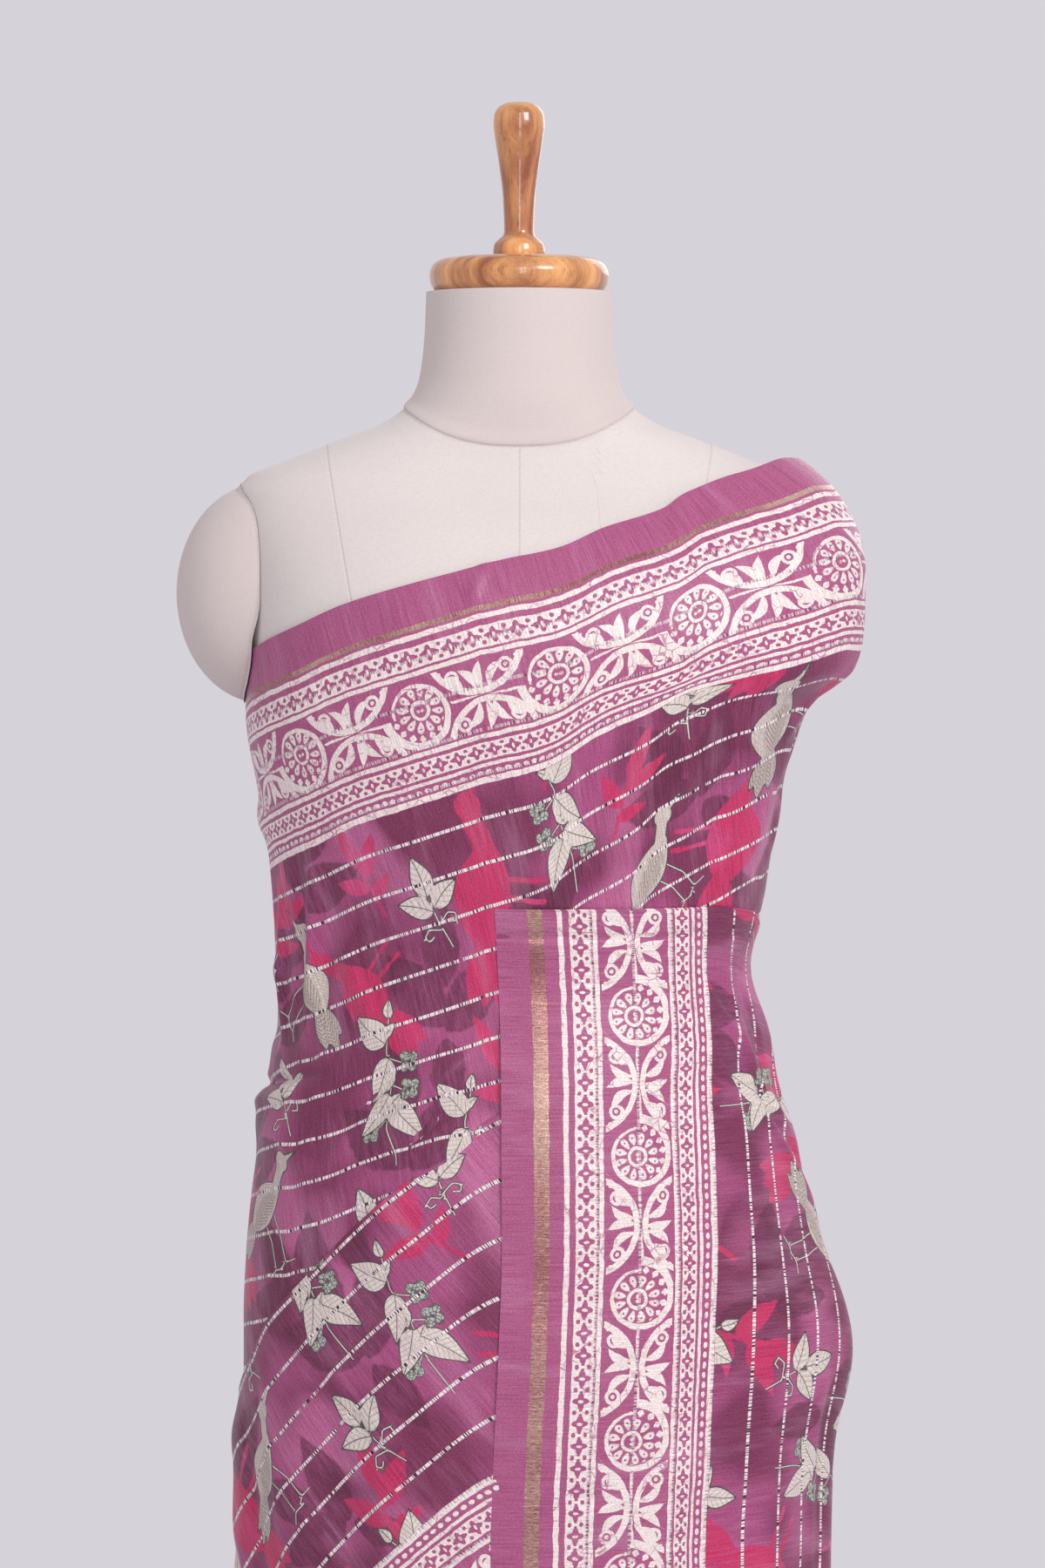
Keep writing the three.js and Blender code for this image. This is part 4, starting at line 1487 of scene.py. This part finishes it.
        # Lighter pink patches: partly dye tone, partly painted sheen.
        other = s.stretched(flat, 1.0, 0.62, 1.0, start=(3.0, 1.0, 0.0))
        glow = s.noise(other, 17.0, 1.0)
        colour = s.mix(glow.fit(9.0, -5.1) * 0.62, colour, self.bright_dye_and_sheen)
        thin = s.noise(s.stretched(flat, 1.0, 0.16, 1.0), 320.0, 3.0, 0.7).fit(5.0, -2.2)
        colour = s.mix((dark + jitter).inside(1.1) * (thin * -0.34 + 0.8), colour, self.deep)
        tone = s.noise(other, 26.0, 2.0).fit(7.0, -3.6)
        return s.mix((shadow + jitter).inside(0.8) * (thin * -0.3 + 0.98), colour,
                     s.mix(tone * 0.8, self.red, self.pink))

    def motifs(self, s: Shader, colour: object, flat: object) -> bpy.types.NodeSocket:
        """Draw pale leaves, birds, stems and berries over the ground.

        Args:
            s: The shader.
            colour: The ground's colour.
            flat: The cloth's coordinates.

        Returns:
            The colour.
        """
        fill, along, across = s.parts("motif")
        _, _, feather = s.parts("ground")
        stem, gap, berry = s.parts("lines")
        ridge = abs(across)
        rib = (ridge - 0.3).inside(0.3)
        vein = (abs((along - ridge * 0.9).repeat(3.6)) - 0.2).inside(0.3)
        barbs = (abs((along + ridge * 1.4).repeat(2.9)) - 0.42).inside(0.4)
        inked = (rib.more(vein * 0.75) * feather.off()).more(barbs * feather * 0.8)
        near = (gap - 1.5).inside(0.4)
        stalk = (abs(stem) - 0.85).inside(0.3) * near
        heart = (abs(stem) - 0.3).inside(0.3) * near
        colour = s.mix(stalk, colour, self.ink)
        colour = s.mix(heart, colour, self.leaf)
        seeds = (s.cells(flat, 430.0) - 0.08).inside(0.07)
        colour = s.mix(berry.inside(0.4), colour, s.mix(seeds * 0.85, self.berry, self.ink))
        colour = s.mix((abs(berry) - 0.3).inside(0.3) * 0.8, colour, self.ink)
        inside = s.mix(feather * 0.85, self.leaf, self.plume)
        colour = s.mix(fill.inside(0.3), colour, s.mix(inked * 0.85, inside, self.ink))
        return s.mix((abs(fill) - 0.42).inside(0.3) * 0.95, colour, self.ink)

    def painted_sheen_patches(self, s: Shader, colour: object, flat: object) -> bpy.types.NodeSocket:
        """Return the colour with painted sheen: pale silky patches drawn out along the weft."""
        painted_sheen = s.noise(s.stretched(flat, 1.0, 0.22, 1.0), 46.0, 3.0, 0.6).fit(4.5, -2.35)
        return s.mix(painted_sheen * 0.24, colour, self.painted_sheen_silver)

    def borders(self, s: Shader, colour: object, flat: object, u: Signal, w: Signal,
                inner: Signal) -> bpy.types.NodeSocket:
        """Return the colour with the block border's ground, painted sheen over the whole cloth, and the
        border's crackled cream print over it.

        Args:
            s: The shader.
            colour: The colour of the cloth inside the border.
            flat: The cloth's coordinates.
            u: Distance along the cloth.
            w: Distance from the border's first line.
            inner: 1 in the border.

        Returns:
            The colour.
        """
        shade = s.noise(flat, 24.0, 3.0, 0.6).fit(2.4, -0.7)
        colour = s.mix(inner, colour, s.mix(shade * 0.5, self.border_ground, self.magenta))
        # Painted sheen: pale patches over the whole cloth, border and ground alike.
        colour = self.painted_sheen_patches(s, colour, flat)
        cracks = (s.cells(flat, 165.0) - 0.04).inside(0.03)
        worn = s.noise(flat, 55.0, 3.0, 0.65).fit(7.0, -3.3)
        printed = self.border_print(u, w) * inner
        return s.mix(printed, colour, s.mix(cracks * worn * 0.75, self.cream, self.border_ground))

    def stripes(self, s: Shader, colour: object, u: Signal, v: Signal,
                inner: Signal) -> bpy.types.NodeSocket:
        """Weave the dashed lines over the cloth, fainter in the border.

        Args:
            s: The shader.
            colour: The cloth's colour.
            u: Distance along the cloth.
            v: Distance across the cloth.
            inner: 1 in the border.

        Returns:
            The colour.
        """
        where = s.combine(u * MM, v.math("SNAP", self.STRIPE_PITCH) * 0.01)
        uneven = s.noise(where, 210.0, 2.0, 0.7)
        dash = (u * (1 / self.DASH_PERIOD) + uneven * 5.0).math("FRACT")
        light = dash.math("LESS_THAN", self.DASH_SHARE)
        breaks = uneven.math("GREATER_THAN", 0.37)
        line = (abs(v.repeat(self.STRIPE_PITCH, self.STRIPE_START)) - self.STRIPE_HALF).inside(0.4)
        margin = v.less(v * -1.0 + CLOTH_WIDTH).math("GREATER_THAN", self.STRIPE_MARGIN)
        line = line * inner.line(-0.5, 1.0) * margin
        return s.mix(line * breaks, colour, s.mix(light, self.thread_dark, self.thread_light))

    def material(self) -> bpy.types.Material:
        """Build the cloth's material.

        Returns:
            The material.
        """
        s = Shader("printed_silk")
        u_m, v_m, _ = s.parts("cloth")
        flat = s.combine(u_m, v_m)
        waver = s.node("ShaderNodeSeparateColor", Color=s.noise(flat, 130.0).socket.node.outputs["Color"])
        wave_u, wave_v = [Signal(s.tree, output).line(1.7, -0.85) for output in waver.outputs[:2]]
        u = u_m * (1 / MM) + wave_u
        v = v_m * (1 / MM)
        shaken = v + wave_v
        shoulder = v.math("LESS_THAN", 0.5 * CLOTH_WIDTH)
        near = shaken.less(shaken * -1.0 + CLOTH_WIDTH)
        w = near - shoulder * (self.BLOCK_START_SHOULDER - self.BLOCK_START_LOWER) - self.BLOCK_START_LOWER
        inner = (w - self.BLOCK_END).inside(0.4)
        colour = self.ground(s, flat, wave_u * 1.6)
        colour = self.borders(s, self.motifs(s, colour, flat), flat, u, w, inner)
        colour = self.stripes(s, colour, u, v + wave_v * 0.15, inner)
        thin, wide = [abs(near - middle) - half for middle, half in (self.SHOULDER_GOLD, self.LOWER_GOLD)]
        gold = (shoulder * thin + shoulder.off() * wide).inside(0.3)
        # The gold strip runs from painted shade to painted highlight: fine ribs of the zari, and a broad
        # painted highlight sweeping along it.
        ribbed = s.noise(s.combine(u_m * 1300.0, v_m * 260.0), 1.0, 2.0, 0.7)
        painted_highlight_sweep = s.noise(s.combine(u_m * 9.0, v_m), 1.0, 2.0, 0.5)
        zari_ribs_and_painted_shine = (ribbed * 1.4 + painted_highlight_sweep * 2.6).fit(1.0, -1.75)
        colour = s.mix(gold * 0.95, colour, s.mix(zari_ribs_and_painted_shine, self.gold_painted_shade, self.gold))
        # Fine weft streaks and grain: darker threads where they are low, and a faint painted glint where they
        # are high.
        streaks = s.noise(s.combine(u_m * 1250.0, v_m * 38.0), 1.0, 3.0, 0.65)
        grain = s.noise(flat, 900.0, 2.0, 0.7)
        speckle = (streaks * 1.5 + grain * 1.3).fit(1.0, -0.9)
        low = s.mix(1.0, colour, self.thread_shade, "MULTIPLY")
        colour = s.mix(speckle, low, s.mix(0.045, colour, self.painted_glint))
        slubs = s.noise(s.combine(u_m * 420.0, v_m * 22.0, 7.0), 1.0, 2.0, 0.5)
        height = streaks * 0.6 + slubs.fit(4.0, -2.1) * 0.5 + grain * 0.25
        return s.finished(
            Base_Color=colour,
            Metallic=gold * 0.45,
            Roughness=(speckle * -0.14 + 0.46) - gold * 0.12,
            Sheen_Weight=0.05,
            Sheen_Roughness=0.4,
            Sheen_Tint=self.sheen,
            Specular_IOR_Level=0.28,
            Normal=s.bump(height, 0.4, 0.0006),
        )


@dataclass(frozen=True)
class FormCotton:
    """Off-white cotton stretched over padding, with stitched seams."""

    cloth: tuple = linear(219, 211, 206)
    shade: tuple = linear(206, 196, 191)
    padded: tuple = linear(190, 173, 169)
    stitched: tuple = linear(158, 146, 142)

    def material(self) -> bpy.types.Material:
        """Build the form's cotton.

        Returns:
            The material.
        """
        s = Shader("form_cotton")
        seam_a, seam_b, seam_c = s.parts("seams")
        where = s.place()
        soft = s.noise(where, 9.0, 3.0)
        colour = s.mix(soft.fit(2.0, -0.6) * 0.5, self.cloth, self.shade)
        nearest = abs(seam_a).less(abs(seam_b))
        groove = (nearest - 0.5).inside(1.1)
        stitch = (seam_c.repeat(3.2).math("ABSOLUTE") - 1.0).inside(0.5)
        fleck = s.noise(where, 620.0, 3.0, 0.7).fit(5.0, -2.2)
        colour = s.mix(fleck * 0.16, colour, self.padded)
        colour = s.mix((seam_b * -1.0).inside(1.5) * 0.42, colour, self.padded)
        dark = groove * stitch.line(0.6, 0.4)
        colour = s.mix(dark * 0.2, colour, self.stitched)
        weave = s.noise(where, 1900.0, 2.0, 0.6)
        pucker = s.noise(where, 160.0) * (nearest * -0.12 + 1.0).more(0.0)
        height = weave * 0.5 + pucker * 0.8 - groove * 1.2
        return s.finished(
            Base_Color=colour,
            Roughness=0.88,
            Sheen_Weight=0.2,
            Specular_IOR_Level=0.25,
            Normal=s.bump(height, 0.5, 0.0006),
        )


@dataclass(frozen=True)
class VarnishedWood:
    """Turned honey-brown wood under a clear coat."""

    light: tuple = linear(232, 166, 100)
    dark: tuple = linear(140, 70, 34)
    pore: tuple = linear(70, 32, 14)

    def material(self) -> bpy.types.Material:
        """Build the wood.

        Returns:
            The material.
        """
        s = Shader("varnished_wood")
        where = s.stretched(s.place(), 1.0, 3.4, 0.34)
        grain = s.noise(where, 90.0, 5.0, 0.62)
        bands = s.noise(where, 26.0, 2.0, 0.5)
        tone = (bands * 2.5 + grain * 1.6).fit(1.0, -1.4)
        colour = s.mix(tone, self.dark, self.light)
        pores = (s.noise(where, 420.0, 2.0, 0.7) - 0.36).inside(0.08)
        colour = s.mix(pores * 0.4, colour, self.pore)
        return s.finished(
            Base_Color=colour,
            Roughness=0.34,
            Coat_Weight=0.8,
            Coat_Roughness=0.08,
            Normal=s.bump(grain, 0.12, 0.0006),
        )


@dataclass(frozen=True)
class StandMetal:
    """Pale powder-coated steel."""

    paint: tuple = linear(222, 220, 218)
    dull: tuple = linear(196, 193, 190)

    def material(self) -> bpy.types.Material:
        """Build the paint.

        Returns:
            The material.
        """
        s = Shader("stand_metal")
        where = s.place()
        peel = s.noise(where, 700.0, 2.0)
        dust = s.noise(where, 12.0, 4.0)
        return s.finished(
            Base_Color=s.mix(dust * 0.5, self.paint, self.dull),
            Roughness=dust * 0.2 + 0.34,
            Normal=s.bump(peel, 0.2, 0.0004),
        )


@dataclass(frozen=True)
class Saree:
    """All the stretches of the draped cloth."""

    stretches: tuple[Stretch, ...] = (
        ChestDrape("chest_drape", "chest", 330, 230, CHEST_FOLDS),
        HipDrape("hip_drape", "hip", 240, 250, HIP_FOLDS, turned_in=True),
        FrontPanel("front_panel", "panel", 190, 390, LOOSE_FOLDS, turned_in=True),
        BackFall("back_fall", "fall", 100, 380, LOOSE_FOLDS),
        BackWrap("back_wrap", "wrap", 240, 230, WRAP_FOLDS),
        Skirt("skirt", "skirt", 200, 160, ring=True),
        FrontPleats("front_pleats", "chest", 238, 120),
    )

    def build(self) -> None:
        """Build every stretch in the printed silk."""
        silk = PrintedSilk().material()
        for stretch in self.stretches:
            stretch.build(silk)


@dataclass
class DressForm:
    """The padded torso with its neck, arm caps, wooden block and stand."""

    columns: int = 180
    neck_rows: int = 150
    low_rows: int = 70
    cap_rings: int = 72
    cap_middle: tuple[float, float, float] = (150.0, 0.0, 1269.0)
    cap_reach: tuple[float, float, float] = (50.0, 50.0, 64.0)
    block_bottom: float = 1444.3
    block_radius: float = 52.3
    block_height: float = 20.0

    SHOULDER = 1290.0
    NECK_FRONT = 1353.5
    NECK_RISE = 21.0
    NECK_HALF = 65.0
    NECK_BACK = 16.0
    CAP_GAP = 0.5
    UNDERARM = 1264.0
    CLOTH_ROOM = 2.2

    def over_seam(self, points: Array, turn: Array) -> Array:
        """Measure the height over the neck's seam, which rises to the sides and the back.

        Args:
            points: Points on the form.
            turn: Their turns.

        Returns:
            Heights over the seam.
        """
        reach = np.minimum(np.abs(points[..., 0]) / self.NECK_HALF, 1.1)
        behind = smoothstep(np.abs(turn_between(0, turn)), 70, 150)
        return points[..., 2] - (self.NECK_FRONT + self.NECK_RISE * reach ** 2.6 + self.NECK_BACK * behind)

    def seams(self, points: Array, turn: Array) -> Array:
        """Measure signed distances to the seams.

        Args:
            points: Points on the form.
            turn: Their turns.

        Returns:
            Distances to the upright seams and to the neck's seam, and the run along them.
        """
        x = points[..., 0]
        z = points[..., 2]
        princess = 112 - (1357 - z) * 0.19
        upright = np.where(np.abs(x) < 45, x, np.abs(x) - princess)
        neck = self.over_seam(points, turn)
        return np.stack([np.where(neck > 0, 40, upright), neck, z], axis=-1)

    def torso(self, cotton: bpy.types.Material) -> None:
        """Build the torso and neck as one fine skin with closed ends.

        Args:
            cotton: Its material.
        """
        upper = np.linspace(1444, self.SHOULDER, self.neck_rows)
        lower = np.linspace(self.SHOULDER, TORSO_BOTTOM, self.low_rows)[1:]
        heights = np.concatenate([upper, lower])
        turn, height = grid_of(np.linspace(-180, 180, self.columns + 1)[:-1], heights)
        points = BODY.section(turn, height, BODY.form_sides(height))
        neck = self.over_seam(points, turn)
        roll = 1.5 * np.exp(-((neck - 2.8) / 4.0) ** 2) - 1.0 * np.exp(-((neck + 0.9) / 1.3) ** 2)
        push_out(points, roll)
        seams = self.seams(points, turn)
        closed = [np.concatenate([grid[:, :1], grid, grid[:, -1:]], axis=1) for grid in (points, seams)]
        points, seams = closed
        points[:, [0, -1], :2] = 0
        obj = grid_object("padded_torso", points, ring=True)
        add_vectors(obj, "seams", seams)
        dress(obj, "form_torso", cotton)

    def arm_cap(self, side: int, node: str, cotton: bpy.types.Material) -> None:
        """Build one padded arm cap, pressed flat where it meets the torso.

        Args:
            side: 1 at the viewer's right, -1 at the left.
            node: The solid that it stands for.
            cotton: Its material.
        """
        around, tilt = grid_of(AROUND, np.linspace(0.0, np.pi, self.cap_rings + 1))
        x = side * (self.cap_middle[0] + self.cap_reach[0] * np.cos(tilt))
        y = self.cap_reach[1] * np.sin(tilt) * np.cos(around)
        z = self.cap_middle[2] + self.cap_reach[2] * np.sin(tilt) * np.sin(around)
        points = np.stack([x, y, z], axis=-1)
        sides = BODY.form_sides(z, self.CAP_GAP)
        if side < 0:
            under = smoothstep(self.UNDERARM - z, 0, 24)
            for name in ("left", "front"):
                cloth = CLOTH_ROWS.at(name, z) + self.CLOTH_ROOM
                sides[name] = sides[name] + (np.maximum(cloth, sides[name]) - sides[name]) * under
        power = SQUARENESS.at("power", z)
        deep = np.where(y < 0, sides["front"], sides["back"])
        room = np.clip(1 - (np.abs(y) / deep) ** power, 0, 1) ** (1 / power)
        wall = room * np.where(side > 0, sides["right"], sides["left"])
        points[..., 0] = side * np.maximum(np.abs(x), wall)
        obj = grid_object(node.replace("form_", "padded_"), points, ring=True)
        if side < 0:
            obj.data.flip_normals()
        lip = np.abs(x) - wall
        seams = np.stack([lip - 1.2, np.full_like(lip, 40.0), z], axis=-1)
        add_vectors(obj, "seams", seams)
        dress(obj, node, cotton)

    def turned(self, name: str, profile: Table, node: str, slot: str, material: bpy.types.Material,
               steps: int = 60, sharp: bool = False) -> None:
        """Turn a profile round the middle axis.

        Args:
            name: The piece's name.
            profile: Radius by distance along the profile, with the height beside it.
            node: The solid that it stands for.
            slot: The record's material slot; not used.
            material: Its material.
            steps: Rows along the profile.
            sharp: True to keep straight lines between the profile's rows.
        """
        runs = profile.data[:, 0]
        run = np.unique(np.concatenate([np.linspace(runs[0], runs[-1], steps), runs]))[::-1]
        if sharp:
            radius = np.interp(run, runs, profile.data[:, 1])
            height = np.interp(run, runs, profile.data[:, 2])
        else:
            radius = profile.at("radius", run)
            height = profile.at("height", run)
        around, height = grid_of(AROUND, height)
        points = np.stack([radius * np.cos(around), radius * np.sin(around), height], axis=-1)
        dress(grid_object(name, points, ring=True), node, material)

    def block(self, wood: bpy.types.Material) -> None:
        """Build the turned neck block and its knob.

        Args:
            wood: Their material.
        """
        low = self.block_bottom
        radius = self.block_radius
        self.turned("turned_neck_block", Table("run radius height", [
            (0, 0.01, low), (46, radius - 5, low), (50, radius - 2.6, low + 1.4), (54, radius - 0.6, low + 5),
            (60, radius, low + 10), (66, radius - 1.4, low + 14.6), (71, radius - 5, low + 18),
            (78, radius - 12, low + 19.6), (90, radius - 24, low + 20), (118, 0.01, low + 20),
        ]), "neck_block", "varnished_wood", wood, 90)
        foot = low + self.block_height + 0.3
        self.turned("turned_knob", Table("run radius height", [
            (0, 0.01, foot), (14, 14.6, foot), (17, 15.2, foot + 3), (21, 14.6, foot + 7),
            (25, 11.4, foot + 10.6),
            (29, 9.4, foot + 12.5), (32, 8.7, foot + 15), (50, 9.4, foot + 33), (70, 11.7, foot + 53),
            (88, 14.4, foot + 71), (93, 15, foot + 76), (99, 14.5, foot + 82), (104, 12, foot + 86.4),
            (110, 6.5, foot + 89), (117, 0.01, foot + 89.4),
        ]), "block_handle", "varnished_wood", wood, 110)

    def stand(self, metal: bpy.types.Material) -> None:
        """Build the pole and the round base.

        Args:
            metal: Their material.
        """
        self.turned("stand_tube", Table("run radius height", [
            (0, 0.01, 12.3), (15, 15, 12.3), (16.4, 16, 13.3), (702, 16, 698.9), (703.4, 15, 699.7),
            (718, 0.01, 699.7),
        ]), "stand_pole", "stand_metal", metal, 8, sharp=True)
        self.turned("stand_plate", Table("run radius height", [
            (0, 0.01, 0), (172, 172, 0), (174, 174.2, 0.6), (176, 175, 2.4), (181, 175, 7), (184, 174, 9.6),
            (187, 171.5, 11.6), (190, 169, 12), (359, 0.01, 12),
        ]), "stand_base", "stand_metal", metal, 20, sharp=True)

    def build(self) -> None:
        """Build the whole form with its finishes."""
        cotton = FormCotton().material()
        self.torso(cotton)
        self.arm_cap(1, "form_arm_cap_right", cotton)
        self.arm_cap(-1, "form_arm_cap_left", cotton)
        self.block(VarnishedWood().material())
        self.stand(StandMetal().material())


@dataclass
class Studio:
    """A pale floor, soft lights and the camera at the photograph's angle."""

    eye: tuple[float, float, float] = (0.002, -2.6, 1.30)
    looks_at: tuple[float, float, float] = (0.002, 0.0, 1.1575)
    lens: float = 102.1
    backdrop: tuple = linear(214, 210, 217)

    def camera(self) -> None:
        """Place the camera."""
        data = bpy.data.cameras.new("camera")
        data.lens = self.lens
        data.sensor_width = 36.0
        obj = bpy.data.objects.new("camera", data)
        obj.location = self.eye
        aim = Vector(self.looks_at) - Vector(self.eye)
        obj.rotation_euler = aim.to_track_quat("-Z", "Y").to_euler()
        bpy.context.scene.collection.objects.link(obj)
        bpy.context.scene.camera = obj

    def lamp(self, name: str, place: tuple[float, float, float], size: tuple[float, float], power: float,
             aim: tuple[float, float, float] = (0.0, 0.0, 1.1)) -> None:
        """Add a soft light.

        Args:
            name: Its name.
            place: Where it stands.
            size: Its width and height.
            power: Its power in watts.
            aim: The point that it faces.
        """
        data = bpy.data.lights.new(name, "AREA")
        data.shape = "RECTANGLE"
        data.size, data.size_y = size
        data.energy = power
        obj = bpy.data.objects.new(name, data)
        obj.location = place
        obj.rotation_euler = (Vector(aim) - Vector(place)).to_track_quat("-Z", "Y").to_euler()
        bpy.context.scene.collection.objects.link(obj)

    def build(self) -> None:
        """Build the floor, lights, backdrop colour and camera."""
        around = np.linspace(0, 2 * np.pi, 65)[:-1]
        rim = np.stack([1.9 * np.cos(around), 1.9 * np.sin(around), np.full(64, -0.0005)], axis=-1)
        floor = mesh_object("floor", rim, [list(range(64))])
        s = Shader("studio_floor")
        colour = s.mix(s.noise(s.place(), 3.0), linear(214, 212, 218), linear(222, 220, 226))
        floor.data.materials.append(s.finished(Base_Color=colour, Roughness=0.7))
        self.lamp("key_light", (1.45, -2.1, 2.5), (0.9, 0.9), 40)
        self.lamp("front_light", (0.25, -3.0, 1.85), (0.4, 2.0), 15)
        self.lamp("back_light", (1.2, 2.1, 2.2), (1.4, 1.4), 9)
        world = bpy.data.worlds.new("studio")
        world.use_nodes = True
        glow = world.node_tree.nodes["Background"].inputs
        glow["Color"].default_value = self.backdrop
        glow["Strength"].default_value = 1.0
        bpy.context.scene.world = world
        bpy.context.scene.view_settings.view_transform = "Standard"
        self.camera()


def main() -> None:
    """Build the form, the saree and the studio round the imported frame."""
    logging.basicConfig(level=logging.INFO, format="%(name)s: %(message)s")
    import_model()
    Studio().build()
    DressForm().build()
    Saree().build()


if __name__ == "__main__":
    main()
